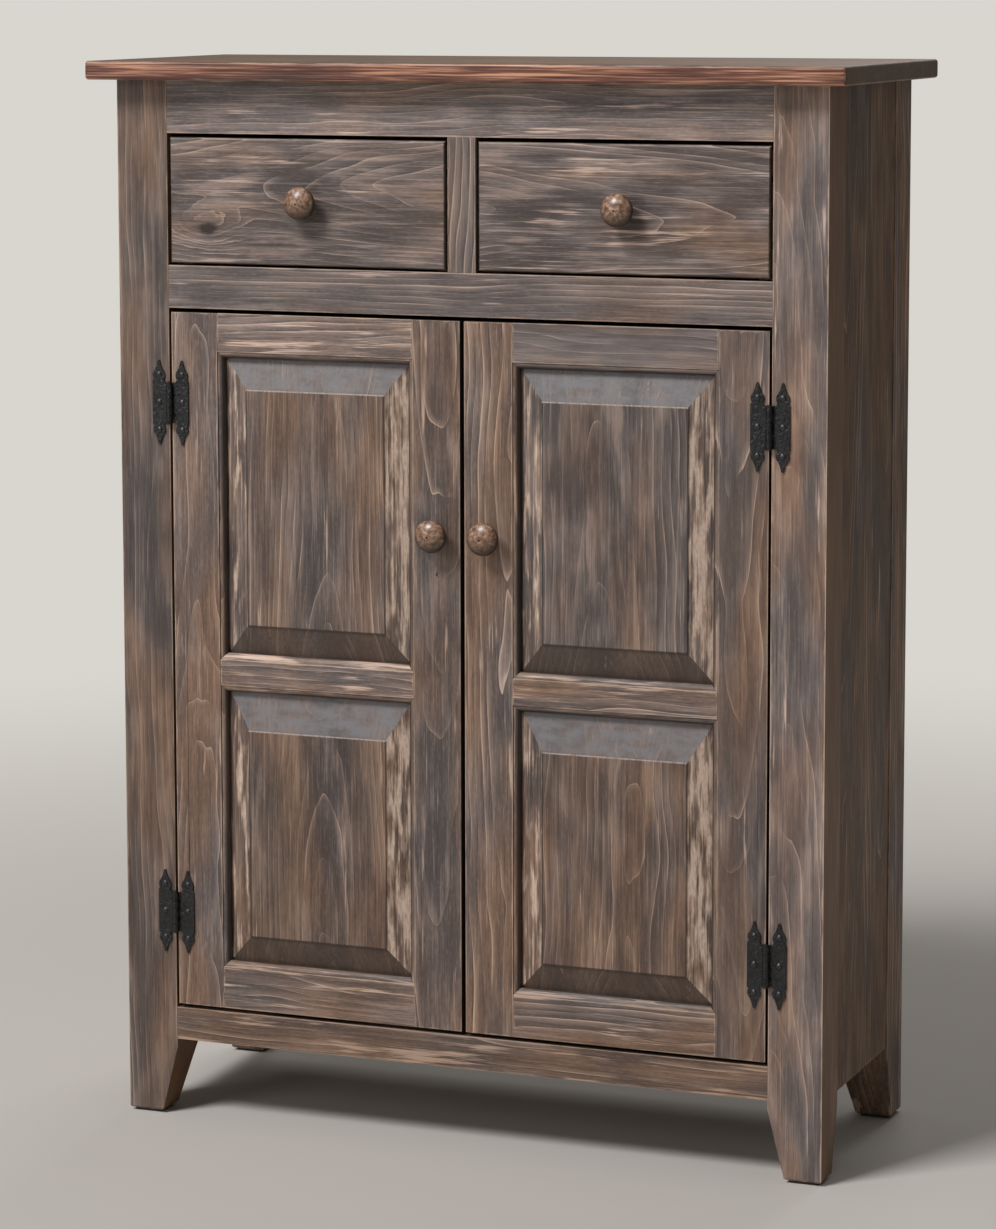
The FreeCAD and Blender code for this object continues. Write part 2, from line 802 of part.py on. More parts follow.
def hinge_screws(side):
    """Return the screws of one side of a door's two hinges."""
    return [screw(Vector(pin_x + side * leaf_screw_offset, -hinge_thickness, z), Y, hinge_screw_radius,
                  hinge_screw_length, hinge_screw_head_radius, hinge_screw_head_height)
            for z in all_hinge_screw_heights()]


# ---------------------------------------------------------------- doors (drawn for the left door)
def inner_edge_cutter(start, inward, run):
    """Return the tools that mould and groove one inner edge of a door frame.

    start lies on the arris, inward points at the opening, and run is the edge's length and direction.
    """
    def at(across, depth):
        return start + inward * across + Y * depth

    bottom = moulding_step + moulding_width - moulding_lip
    outline = [
        line(at(0, -1), at(0, moulding_step)),
        line(at(0, moulding_step), at(moulding_lip, moulding_step)),
        arc_about(at(moulding_lip, bottom), at(moulding_lip, moulding_step), at(moulding_width, bottom)),
        line(at(moulding_width, bottom), at(moulding_width + 1, bottom)),
        line(at(moulding_width + 1, bottom), at(moulding_width + 1, -1)),
        line(at(moulding_width + 1, -1), at(0, -1)),
    ]
    recess = Part.Face(Part.Wire(outline)).extrude(run)
    floor = moulding_width - panel_groove_depth
    groove = prism([at(floor, panel_groove_front), at(moulding_width + 1, panel_groove_front),
                    at(moulding_width + 1, panel_groove_back), at(floor, panel_groove_back)], run)
    return [recess, groove]


def stiles():
    """Return the hinge stile and the lock stile, moulded and grooved along their inner edges."""
    depth = (0.0, door_thickness)
    run = Z * (door_z[1] - door_z[0])
    hinge = block((door_hinge_edge, hinge_arris + moulding_width), depth, door_z)
    hinge = hinge.cut(inner_edge_cutter(Vector(hinge_arris, 0, door_z[0]), X, run))
    lock = block((lock_arris - moulding_width, door_centre_edge), depth, door_z)
    lock = lock.cut(inner_edge_cutter(Vector(lock_arris, 0, door_z[0]), -X, run))
    return hinge, lock


def door_rail(flat, moulded_below, moulded_above, frame):
    """Return a door rail whose ends are coped over the stiles' moulding and tongued into their grooves."""
    z = grown(flat, moulding_width * moulded_below, moulding_width * moulded_above)
    tongue = moulding_width - panel_groove_depth
    front = block((hinge_arris, lock_arris), (0, panel_groove_front), z)
    middle = block((hinge_arris + tongue, lock_arris - tongue), (panel_groove_front, panel_groove_back), z)
    back = block((hinge_arris + moulding_width, lock_arris - moulding_width),
                 (panel_groove_back, door_thickness), z)
    body = joined([front, middle, back])
    start_x = hinge_arris - panel_groove_depth
    run = X * (lock_arris - hinge_arris + 2 * panel_groove_depth)
    if moulded_below:
        body = body.cut(inner_edge_cutter(Vector(start_x, 0, flat[0]), -Z, run))
    if moulded_above:
        body = body.cut(inner_edge_cutter(Vector(start_x, 0, flat[1]), Z, run))
    return body.cut(list(frame))


def raising_cutter(corner, inward, run, bevel):
    """Return the tool that raises one edge of a panel: a flat tongue, then a bevel up to the field's step.

    corner is the panel's corner at the back, inward points at the field, and run is the edge's length
    and direction.
    """
    def at(across, depth):
        return Vector(corner.x, depth, corner.z) + inward * across

    sight = panel_groove_depth - panel_expansion_gap
    field = sight + bevel
    return prism([at(-1, panel_groove_front), at(sight, panel_groove_front),
                  at(field, panel_field_recess + panel_field_step), at(field, panel_field_recess - 1),
                  at(-1, panel_field_recess - 1)], run)


def raised_panel(opening_z, bevels):
    """Return a panel between two rails' arrises, raised on its front; bevels are its lower and upper ones."""
    grip = moulding_width - panel_groove_depth + panel_expansion_gap
    x = (hinge_arris + grip, lock_arris - grip)
    z = grown(opening_z, -grip, -grip)
    slab = block(x, (panel_field_recess, panel_groove_back), z)
    low, high = Vector(x[0], 0, z[0]), Vector(x[1], 0, z[1])
    across = X * (x[1] - x[0])
    up = Z * (z[1] - z[0])
    return slab.cut([
        raising_cutter(low, X, up, panel_bevel_side),
        raising_cutter(high, -X, -up, panel_bevel_side),
        raising_cutter(low, Z, across, bevels[0]),
        raising_cutter(high, -Z, -across, bevels[1]),
    ])


def catch_plate():
    """Return the steel plate that meets the catch, with its screw hole."""
    x = centred((-catch_centre, -catch_centre), plate_length)
    z = (door_z[0] + plate_rise, door_z[0] + plate_rise + plate_height)
    plate = block(x, (door_thickness, door_thickness + plate_thickness), z)
    hole = rod(Vector(-catch_centre, door_thickness, sum(z) / 2), Y, catch_screw_radius, plate_thickness)
    return plate.cut(hole)


def left_door():
    """Return the left door's pieces by name."""
    hinge_stile, lock_stile = stiles()
    frame = (hinge_stile, lock_stile)
    top = (door_z[1] - door_top_rail_flat, door_z[1])
    bottom = (door_z[0], door_z[0] + door_bottom_rail_flat)
    knob_x = (lock_arris + door_centre_edge) / 2
    knob_z = door_z[0] + door_knob_height
    fixings = hinge_screws(1) + [knob_screw(knob_x, knob_z, door_thickness), catch_plate()]
    return {
        "hinge_stile": [hinge_stile.cut(hinge_screw_holes(1))],
        "lock_stile": [lock_stile.cut(knob_hole(knob_x, knob_z, door_thickness))],
        "top_rail": [door_rail(top, True, False, frame)],
        "mid_rail": [door_rail(mid_rail_z, True, True, frame)],
        "bottom_rail": [door_rail(bottom, False, True, frame)],
        "upper_panel": [raised_panel((mid_rail_z[1], top[0]), upper_panel_bevels)],
        "lower_panel": [raised_panel((bottom[1], mid_rail_z[0]), lower_panel_bevels)],
        "knob": [knob(knob_x, knob_z)],
        "hinge_leaves": [hinge_leaf(1, height) for height in hinge_heights],
        "fixings": fixings,
    }


# ---------------------------------------------------------------- drawers (drawn for the left drawer)
def dovetails(x, root, tip, z, count):
    """Return tails that widen from root to tip along Y, evenly spread over the height z."""
    pitch = (z[1] - z[0]) / count
    half_tip = (pitch - dovetail_pin_width) / 2
    half_root = half_tip - abs(tip - root) * dovetail_slope
    tails = []
    for index in range(count):
        middle = z[0] + (index + 0.5) * pitch
        corners = [(root, -half_root), (tip, -half_tip), (tip, half_tip), (root, half_root)]
        tails.append(prism([Vector(x[0], y, middle + dz) for y, dz in corners], X * (x[1] - x[0])))
    return tails


def left_drawer():
    """Return the left drawer's pieces by name: half-blind dovetails in front, through dovetails behind."""
    x = (-drawer_outer, -drawer_inner)
    z = (drawer_opening_bottom + drawer_gap_bottom, drawer_opening_top - drawer_gap_top)
    left_x = (x[0], x[0] + drawer_side_thickness)
    right_x = (x[1] - drawer_side_thickness, x[1])
    groove_z = (z[0] + drawer_bottom_height, z[0] + drawer_bottom_height + drawer_bottom_thickness)
    back_y = (drawer_length - drawer_back_thickness, drawer_length)
    back_z = (groove_z[1], z[1] - drawer_back_drop)
    bottom_x = grown((left_x[1], right_x[0]), drawer_bottom_groove, drawer_bottom_groove)
    bottom = block(bottom_x, (drawer_front_thickness - drawer_bottom_groove, drawer_length), groove_z)

    front = block(x, (0, drawer_front_thickness), z)
    rim = edges_at(front, lambda point: near(point.y, 0))
    front = front.makeFillet(drawer_front_radius, rim)
    back = block(x, back_y, back_z)
    sides = []
    for side_x in (left_x, right_x):
        front_tails = dovetails(side_x, drawer_front_thickness, dovetail_lap, z, front_dovetail_count)
        back_tails = dovetails(side_x, back_y[0], back_y[1], back_z, back_dovetail_count)
        body = block(side_x, (drawer_front_thickness, drawer_length), z)
        body = body.cut(block(side_x, back_y, back_z))
        side = joined([body] + front_tails + back_tails)
        sides.append(side.cut(bottom))
        front = front.cut(front_tails)
        back = back.cut(back_tails)

    knob_x = sum(x) / 2
    knob_z = sum(z) / 2
    front = front.cut([bottom, knob_hole(knob_x, knob_z, drawer_front_thickness)])
    return {
        "front": [front],
        "left_side": [sides[0]],
        "right_side": [sides[1]],
        "back": [back],
        "bottom": [bottom],
        "knob": [knob(knob_x, knob_z)],
        "knob_screw": [knob_screw(knob_x, knob_z, drawer_front_thickness)],
    }


# ---------------------------------------------------------------- the whole cupboard
def case_pieces():
    """Return the fixed pieces by name."""
    mullion_x = (-mullion_width / 2, mullion_width / 2)
    mullion = block(mullion_x, front_rail_y, (drawer_opening_bottom, drawer_opening_top))
    lower_mortise, upper_mortise = mullion_tenons(mortise_relief)
    floor_groove = floor_tongues(mortise_relief / 2)[0]
    holes = catch_screw_holes(floor_thickness / 2, floor_thickness / 2)
    catch_holes = holes + [mirror_x(hole) for hole in holes]
    lower_top, upper_top = shelf_tops()
    glide = foot_glide()
    rear_glide = glide.mirror(Vector(0, case_depth / 2, 0), Y)
    frame_leaves = [hinge_leaf(-1, height) for height in hinge_heights]
    pins = [hinge_pin(height) for height in hinge_heights]
    return {
        "top_board": [top_board()],
        "front_left_post": [front_post()],
        "front_right_post": [mirror_x(front_post())],
        "rear_left_post": [rear_post()],
        "rear_right_post": [mirror_x(rear_post())],
        "top_rail": [rail(front_rail_y, top_rail_z).cut(upper_mortise)],
        "middle_rail": [rail(front_rail_y, middle_rail_z).cut([lower_mortise, runner_grooves()[0]])],
        "bottom_rail": [rail(front_rail_y, bottom_rail_z).cut(floor_groove)],
        "drawer_mullion": [joined([mullion] + mullion_tenons())],
        "left_side_panel": [side_panel()],
        "right_side_panel": [mirror_x(side_panel())],
        "rear_rails": rear_rails(),
        "back_boards": back_boards(),
        "cabinet_floor": [cabinet_floor().cut(catch_holes)],
        "lower_shelf": [shelf(lower_top)],
        "upper_shelf": [shelf(upper_top)],
        "shelf_pins": shelf_pins(),
        "drawer_runners": drawer_runners(),
        "drawer_stops": drawer_stops(),
        "drawer_kickers": drawer_kickers(),
        "top_screws": top_screws(),
        "door_catches": both_hands(catch()),
        "frame_hinge_leaves": [hand for leaf in frame_leaves for hand in both_hands(leaf)],
        "hinge_pins": [hand for pin in pins for hand in both_hands(pin)],
        "frame_hinge_screws": [hand for each in hinge_screws(-1) for hand in both_hands(each)],
        "foot_glides": both_hands(glide) + both_hands(rear_glide),
    }


def export(name, solids):
    """Write one node, moved so that the origin is the middle of the whole footprint."""
    front = -max(top_overhang_front, knob_projection)
    back = case_depth + top_overhang_back
    shape = Part.makeCompound(solids) if len(solids) > 1 else solids[0]
    shape.translate(Vector(0, -(front + back) / 2, 0))
    shape.exportStep(os.path.join("parts", name + ".step"))
    print(f"{name}: {len(shape.Solids)} solid(s), valid {shape.isValid()}, {shape.Volume / 1000:.1f} cm3")


def main():
    """Build every piece and write it to its own file."""
    os.makedirs("parts", exist_ok=True)
    pieces = case_pieces()
    for assembly, build in (("door", left_door), ("drawer", left_drawer)):
        for name, solids in build().items():
            pieces[f"left_{assembly}_{name}"] = solids
            other = {"left_side": "right_side", "right_side": "left_side"}.get(name, name)
            pieces[f"right_{assembly}_{other}"] = [mirror_x(solid) for solid in solids]
    for name, solids in pieces.items():
        export(name, solids)


main()
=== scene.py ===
"""Finishes, studio and camera of a two-door, two-drawer jelly cupboard in stained pine.

Lengths in fields that end in _mm are millimetres. Everything else is in metres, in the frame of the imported
model: +X to the right, +Y to the back, +Z up, with z = 0 on the ground. Left and right are as seen from the
front.
"""
import logging
import math
import random
from collections.abc import Sequence
from dataclasses import dataclass, field, replace
from enum import Enum

import bpy
from mathutils import Matrix, Vector


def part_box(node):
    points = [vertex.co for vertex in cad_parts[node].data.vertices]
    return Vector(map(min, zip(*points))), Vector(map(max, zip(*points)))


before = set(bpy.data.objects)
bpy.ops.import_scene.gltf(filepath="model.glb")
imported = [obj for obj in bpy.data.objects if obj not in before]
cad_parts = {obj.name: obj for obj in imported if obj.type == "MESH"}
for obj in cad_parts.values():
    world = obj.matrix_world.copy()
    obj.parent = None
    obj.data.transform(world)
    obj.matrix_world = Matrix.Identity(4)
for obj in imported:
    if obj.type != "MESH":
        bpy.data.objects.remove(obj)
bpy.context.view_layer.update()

MM = 0.001
log = logging.getLogger("jelly_cupboard")

Socket = bpy.types.NodeSocket
Tree = bpy.types.NodeTree
Material = bpy.types.Material
Box = tuple[Vector, Vector]
# A linear colour and the factors of its cover
Layer = tuple[Socket | tuple | float | None, ...]

# The Mix node's colour inputs and output, by number
FACTOR, FIRST, SECOND, MIXED = 0, 6, 7, 2
# Before edges are eased, seams narrower than this are closed and faces flatter than this are joined
CLOSED_SEAM_MM = 0.004
FLAT = math.radians(0.2)
# Edges sharper than this are eased
SHARP = math.radians(35)
# How strongly large flat faces pull the shading of an eased edge, from 1 to 100
FLAT_FACE_PULL = 80
# How far apart two boards lie in the noise, across, through and along, for each whole step of their seeds
BOARD_STEP_MM = (71.0, 39.0, 913.0)
# The same along the fibres for two strips of a board
STRIP_STEP_MM = 611.0
# How strongly streaks and fibres fray the borders of blots
STREAK_FRAY, FIBRE_FRAY = 0.45, 0.35
# How many rings later a board's count starts for each whole step of its seed, so that its rings differ
RING_STEP = 50


# ---------------------------------------------------------------- general tools
def linear(hex_colour: str, tone: float = 1.0) -> tuple[float, float, float, float]:
    """Turn an sRGB hex colour into the linear colour that a shader takes.

    Args:
        hex_colour: A colour such as "#6e645f".
        tone: How much lighter or darker than that the colour is, as a factor.

    Returns:
        Red, green and blue from 0 to 1 and an alpha of 1.
    """
    parts = [int(hex_colour[i:i + 2], 16) / 255 for i in (1, 3, 5)]
    red, green, blue = [c / 12.92 if c <= 0.04045 else ((c + 0.055) / 1.055) ** 2.4 for c in parts]
    return red * tone, green * tone, blue * tone, 1.0


def add_node(tree: Tree, kind: str, inputs: dict | Sequence = (), out: int | str | slice = 0,
             **settings: str | bool) -> Socket | list[Socket] | None:
    """Add one shader node with its settings and links.

    Args:
        tree: The node tree.
        kind: The node's type, without its ShaderNode prefix, and its operation after a dot, if it has one.
        inputs: What goes into the inputs, output sockets to link or plain values, in the node's own order,
            or by name or number. A MapRange takes its value, from min, from max, to min and to max.
        out: The output to hand back, by name or number, or a slice of them.
        **settings: The node's own settings.

    Returns:
        The output, or None from a node that has none.
    """
    kind, _, operation = kind.partition(".")
    node = tree.nodes.new("ShaderNode" + kind)
    if operation:
        node.operation = operation
    for name, value in settings.items():
        setattr(node, name, value)
    for key, value in inputs.items() if isinstance(inputs, dict) else enumerate(inputs):
        if isinstance(value, Socket):
            tree.links.new(value, node.inputs[key])
        else:
            node.inputs[key].default_value = value
    return node.outputs[out] if node.outputs else None


def facing(tree: Tree) -> list[Socket]:
    """Return the x, y and z of the way the surface looks."""
    normal = add_node(tree, "TexCoord", out="Normal")
    return add_node(tree, "SeparateXYZ", (normal,), out=slice(3))


def facing_mask(tree: Tree, part: Socket, start: float, full: float, cover: float = 1.0) -> Socket:
    """Mask faces by how squarely they look along an axis, either way.

    Args:
        tree: The node tree.
        part: The part of the way the surface looks that runs along the axis.
        start: The size of that part at which the mask starts.
        full: The size at which it is full.
        cover: How much the full mask covers.

    Returns:
        The mask, from 0 to the cover.
    """
    size = add_node(tree, "Math.ABSOLUTE", (part,))
    return add_node(tree, "MapRange", (size, start, full, 0.0, cover))


def lay_coats(tree: Tree, ground: Socket | tuple, coats: Sequence[Layer]) -> Socket:
    """Lay coats of colour over a ground, one after the other.

    Args:
        tree: The node tree.
        ground: The colour underneath.
        coats: Each coat's linear colour, and the factors that its cover is the product of, each from 0 to 1.
            A coat whose first factor is None is left out.

    Returns:
        The colour of the whole.
    """
    colour = ground
    for coat, cover, *factors in coats:
        if cover is None:
            continue
        for factor in factors:
            cover = add_node(tree, "Math.MULTIPLY", (cover, factor))
        colour = add_node(tree, "Mix", {FACTOR: cover, FIRST: colour, SECOND: coat}, MIXED, data_type="RGBA")
    return colour


def close_material(tree: Tree, colour: Socket, sheen: Socket, relief: Socket, depth_mm: float,
                   strength: float, **finish: float) -> None:
    """Close a material: its shader, with a relief, and its output.

    Args:
        tree: The node tree.
        colour: Its colour.
        sheen: Its roughness.
        relief: The height of its relief, from 0 to 1.
        depth_mm: How deep the relief is.
        strength: How strongly it shows.
        **finish: What else is set on the shader, by the name of the input, with _ for a blank.
    """
    normal = add_node(tree, "Bump", {"Height": relief, "Strength": strength, "Distance": depth_mm * MM})
    inputs = {name.replace("_", " "): value for name, value in finish.items()}
    inputs |= {"Base Color": colour, "Roughness": sheen, "Normal": normal}
    add_node(tree, "OutputMaterial", (add_node(tree, "BsdfPrincipled", inputs),))


def new_material(name: str) -> tuple[Material, Tree]:
    """Make a material without nodes.

    Args:
        name: Its name.

    Returns:
        The material and its node tree.
    """
    material = bpy.data.materials.new(name)
    material.use_nodes = True
    material.node_tree.nodes.clear()
    return material, material.node_tree


def dress(name: str, material: Material, eased_mm: float = 0.0) -> None:
    """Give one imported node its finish, and ease its sharp edges.

    Args:
        name: The node's name.
        material: Its finish.
        eased_mm: The width of its eased edges, or nought where they stay as they are.
    """
    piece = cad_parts[name]
    for slot in piece.material_slots:
        slot.material = material
    if eased_mm:
        weld = piece.modifiers.new("closed_seams", "WELD")
        weld.merge_threshold = CLOSED_SEAM_MM * MM
        planes = piece.modifiers.new("whole_faces", "DECIMATE")
        planes.decimate_type = "DISSOLVE"
        planes.angle_limit = FLAT
        bevel = piece.modifiers.new("eased_edges", "BEVEL")
        bevel.width = eased_mm * MM
        bevel.segments = 2
        bevel.limit_method = "ANGLE"
        bevel.angle_limit = SHARP
        bevel.use_clamp_overlap = False
        normals = piece.modifiers.new("flat_faces", "WEIGHTED_NORMAL")
        normals.weight = FLAT_FACE_PULL
    log.info("%s: %s", name, material.name)


# ---------------------------------------------------------------- wood
class Grain(Enum):
    """Which axes run across a board's face, through its thickness and along its fibres."""

    UPRIGHT = (0, 1, 2)
    LEVEL = (2, 1, 0)
    FLANK = (1, 0, 2)
    SHELF = (1, 2, 0)
    RUNNER = (2, 0, 1)
    DRAWER_FLOOR = (0, 2, 1)


@dataclass(frozen=True)
class Knot:
    """A knot, placed across and along from the middle of its board, and how many rings swerve round it.

    Slimness is its width as a share of its length. In units of its radius, waver is how far its outline
    strays, reach is how far away the rings swerve, and its dark heart fades out from core to fringe.
    """

    across_mm: float
    along_mm: float
    radius_mm: float
    rings: float
    slimness: float = 0.6
    waver: float = 0.8
    reach: float = 2.8
    core: float = 0.25
    fringe: float = 0.55


@dataclass(frozen=True)
class Cut:
    """How a board was sawn from its log, and how its stain took.

    The pith lies across from the board's middle and behind its face. It leans, and the rings open out into
    arches towards the end where it comes nearer the face: the far end, for a lean above nought. Warmth runs
    from 0, a grey board, to 1, a brown one. Tone is the board's brightness as a factor. Rubbed is how much
    of the stain was wiped off again. A board may be glued up from strips, or be a row of loose boards with
    open seams, where stain gathers. Blots is how unevenly the board drank the stain, lines is how strongly
    its rings show, and fibres how strongly its pores and fibres do. A brown flank is a side face stained
    like the side panel beside it.
    """

    grain: Grain
    pith_across_mm: float = 30.0
    pith_depth_mm: float = 60.0
    lean: float = 0.03
    ring_mm: float = 7.0
    warmth: float = 0.5
    tone: float = 1.0
    rubbed: float = 0.3
    strips: int = 1
    knots: tuple[Knot, ...] = ()
    blots: float = 1.0
    lines: float = 1.0
    fibres: float = 1.0
    open_seams: bool = False
    brown_flank: bool = False


@dataclass(frozen=True)
class Streaks:
    """Cloudy noise drawn out along the fibres: how wide and long its features are, and its finer layers."""

    width_mm: float
    length_mm: float
    detail: float = 3.0

    def draw(self, tree: Tree, board: Socket, out: str = "Fac") -> Socket:
        """Add the noise.

        Args:
            tree: The node tree.
            board: Where a point lies in the board, in millimetres.
            out: The output of the noise that is wanted.

        Returns:
            The noise.
        """
        scale = (1 / self.width_mm, 1 / self.width_mm, 1 / self.length_mm)
        place = add_node(tree, "VectorMath.MULTIPLY", (board, scale))
        return add_node(tree, "TexNoise", {"Vector": place, "Scale": 1.0, "Detail": self.detail,
                                           "Roughness": 0.55}, out)

    def fray(self, tree: Tree, board: Socket, streak: Socket, fibre: Socket) -> Socket:
        """Add the noise as blots whose borders fray into streaks and single fibres.

        Args:
            tree: The node tree.
            board: Where a point lies in the board, in millimetres.
            streak: The streak noise.
            fibre: The fibre noise.

        Returns:
            The noise, about a half on average.
        """
        blot = self.draw(tree, board)
        blot = add_node(tree, "Math.MULTIPLY_ADD", (streak, STREAK_FRAY, blot))
        blot = add_node(tree, "Math.MULTIPLY_ADD", (fibre, FIBRE_FRAY, blot))
        return add_node(tree, "Math.SUBTRACT", (blot, (STREAK_FRAY + FIBRE_FRAY) / 2))


@dataclass(frozen=True)
class Figure:
    """The sockets of a board's figure, each from 0 to 1, and where a point lies in the board."""

    late_wood: Socket
    summer_wood: Socket
    early_wood: Socket
    fibre: Socket
    fleck: Socket
    streak: Socket
    cloud: Socket
    blotch: Socket
    patch: Socket
    arris: Socket
    heart: Socket | None
    board: Socket
    strip: Socket | None
    seam: Socket | None


@dataclass(frozen=True)
class Coat:
    """One coat of a finish, which lies where a part of the figure passes from the level start to full.

    There it covers as much as cover says. On stained pine the cover grows with a trait of the cut, and the
    coat shows wood that is soaked with stain, or wood that is nearly bare.
    """

    part: str
    start: float
    full: float
    cover: float
    trait: str = "fibres"
    soaked: bool = False

    def lay(self, tree: Tree, figure: Figure, strength: float = 1.0) -> Socket:
        """Work out how much the coat covers.

        Args:
            tree: The node tree.
            figure: The board's figure.
            strength: A factor on its cover.

        Returns:
            The cover.
        """
        part = getattr(figure, self.part)
        return add_node(tree, "MapRange", (part, self.start, self.full, 0.0, self.cover * strength))


@dataclass(frozen=True)
class Pine:
    """Sawn pine. Its figure is worked out in the solid, so that faces, edges and ends agree.

    Growth rings are shells about a wandering pith, each ending in a hard line of dense late wood. The line
    is as wide on a board that cuts the rings flat as on one that cuts them square. The fibres are drawn
    0.9 mm wide and the lines 1.3 mm, coarser than real ones, so that they show at arm's length.
    """

    name: str = "pine"
    # The pith: how far it wanders, and how quickly
    sway_mm: tuple[float, float, float] = (20.0, 25.0, 0.0)
    wander: Streaks = Streaks(80.0, 260.0, 1.5)
    # Small waves in the rings, as a share of a ring's width
    waves: Streaks = Streaks(16.0, 110.0, 1.0)
    wave_height: float = 0.44
    # The ring's hard line, the glow before it and the shade after it, and where the rings fade away
    line_mm: float = 1.3
    glow_mm: float = 9.0
    shade_mm: float = 3.5
    fading: Streaks = Streaks(22.0, 130.0, 2.0)
    # The flattest that rings are cut, as the sine of the angle, and how strong the faintest ring is
    least_slope: float = 0.09
    least_vigour: float = 0.25
    # Fibres, resin flecks, streaks, and clouds, blots and patches of stain
    fibre: Streaks = Streaks(0.9, 48.0)
    fleck: Streaks = Streaks(1.8, 7.0)
    streak: Streaks = Streaks(3.2, 170.0)
    cloud: Streaks = Streaks(60.0, 260.0, 2.0)
    blotch: Streaks = Streaks(26.0, 95.0)
    patch: Streaks = Streaks(13.0, 120.0)
    # Wear along the edges; on a raised panel the same band is painted shade
    edge_fray: Streaks = Streaks(9.0, 40.0, 4.0)
    least_edge_band_mm: float = 0.6
    most_edge_band_mm: float = 3.0
    seam_mm: float = 1.6
    roughness: float = 0.52
    relief_mm: float = 0.25

    def colour(self, tree: Tree, figure: Figure, cut: Cut) -> Socket:
        """Return the colour of a board, which each kind of pine works out in its own way."""
        raise NotImplementedError(self.name)

    def build(self, piece: str, box: Box, cut: Cut) -> Material:
        """Return the finish of one board.

        Args:
            piece: The board's name.
            box: The lowest and highest corner of its flat faces.
            cut: How it was sawn.

        Returns:
            The material.
        """
        material, tree = new_material(f"{self.name}_{piece}")
        figure = self.figure(tree, box, cut, random.Random(piece).uniform(1.0, 9.0))
        self.surface(tree, self.colour(tree, figure, cut), figure)
        return material

    def figure(self, tree: Tree, box: Box, cut: Cut, seed: float) -> Figure:
        """Build the figure of one board.

        Args:
            tree: The node tree.
            box: The lowest and highest corner of its flat faces.
            cut: How it was sawn.
            seed: A number of its own, so that no two boards match.

        Returns:
            The figure's sockets.
        """
        middle = (box[0] + box[1]) / 2
        half = (box[1] - box[0]) / 2 / MM
        place = add_node(tree, "TexCoord", out="Object")
        centred = add_node(tree, "VectorMath.SUBTRACT", (place, tuple(middle)))
        in_mm = add_node(tree, "VectorMath.MULTIPLY", (centred, (1 / MM,) * 3))
        split = add_node(tree, "SeparateXYZ", (in_mm,), slice(3))
        across, through, along = [split[axis] for axis in cut.grain.value]
        strip = seam = None
        knotted = (across, along)
        if cut.strips > 1:
            width = 2 * half[cut.grain.value[0]] / cut.strips
            across, along, strip, seam = self.glue_up(tree, across, along, width, cut)
        board = add_node(tree, "CombineXYZ", (across, through, along))
        shift = tuple(seed * step for step in BOARD_STEP_MM)
        board_noise = add_node(tree, "VectorMath.ADD", (board, shift))
        radius, slope, heart = self.ring_radius(tree, board, board_noise, knotted, cut, seed)
        fibre = self.fibre.draw(tree, board_noise)
        streak = self.streak.draw(tree, board_noise)
        late, summer, early = self.rings(tree, radius, slope, board_noise, fibre, cut.ring_mm)
        return Figure(
            late_wood=late,
            summer_wood=summer,
            early_wood=early,
            fibre=fibre,
            fleck=self.fleck.draw(tree, board_noise),
            streak=streak,
            cloud=self.cloud.draw(tree, board_noise),
            blotch=self.blotch.fray(tree, board_noise, streak, fibre),
            patch=self.patch.fray(tree, board_noise, streak, fibre),
            arris=self.arris(tree, in_mm, board_noise, half),
            heart=heart,
            board=board_noise,
            strip=strip,
            seam=seam,
        )

    def glue_up(self, tree: Tree, across: Socket, along: Socket, width: float,
                cut: Cut) -> tuple[Socket, Socket, Socket, Socket | None]:
        """Split a wide board into strips, each with a figure of its own.

        Args:
            tree: The node tree.
            across: How far a point lies across from the board's middle, in millimetres.
            along: How far it lies along from there.
            width: The width of a strip.
            cut: How the board was sawn.

        Returns:
            The place across and along in the strip's own wood, a number of the strip's own from 0 to 1,
            and the gathered stain at an open seam, if the seams are open.
        """
        count = add_node(tree, "Math.MULTIPLY_ADD", (across, 1 / width, cut.strips / 2))
        strip = add_node(tree, "Math.FLOOR", (count,))
        inside = add_node(tree, "Math.SUBTRACT", (count, strip))
        seam = None
        if cut.open_seams:
            # How far a point is from the strip's middle, as a share of its width: a half at the seams
            seam = add_node(tree, "Math.SUBTRACT", (inside, 0.5))
            seam = add_node(tree, "Math.ABSOLUTE", (seam,))
            share = self.seam_mm / width
            seam = add_node(tree, "MapRange", (seam, 0.5 - share, 0.5 - share / 2, 0.0, 0.9))
        across = add_node(tree, "Math.MULTIPLY_ADD", (inside, width, -width / 2))
        chance = add_node(tree, "TexWhiteNoise", {"W": strip}, noise_dimensions="1D")
        across = add_node(tree, "Math.MULTIPLY_ADD", (chance, width, across))
        along = add_node(tree, "Math.MULTIPLY_ADD", (strip, STRIP_STEP_MM, along))
        return across, along, chance, seam

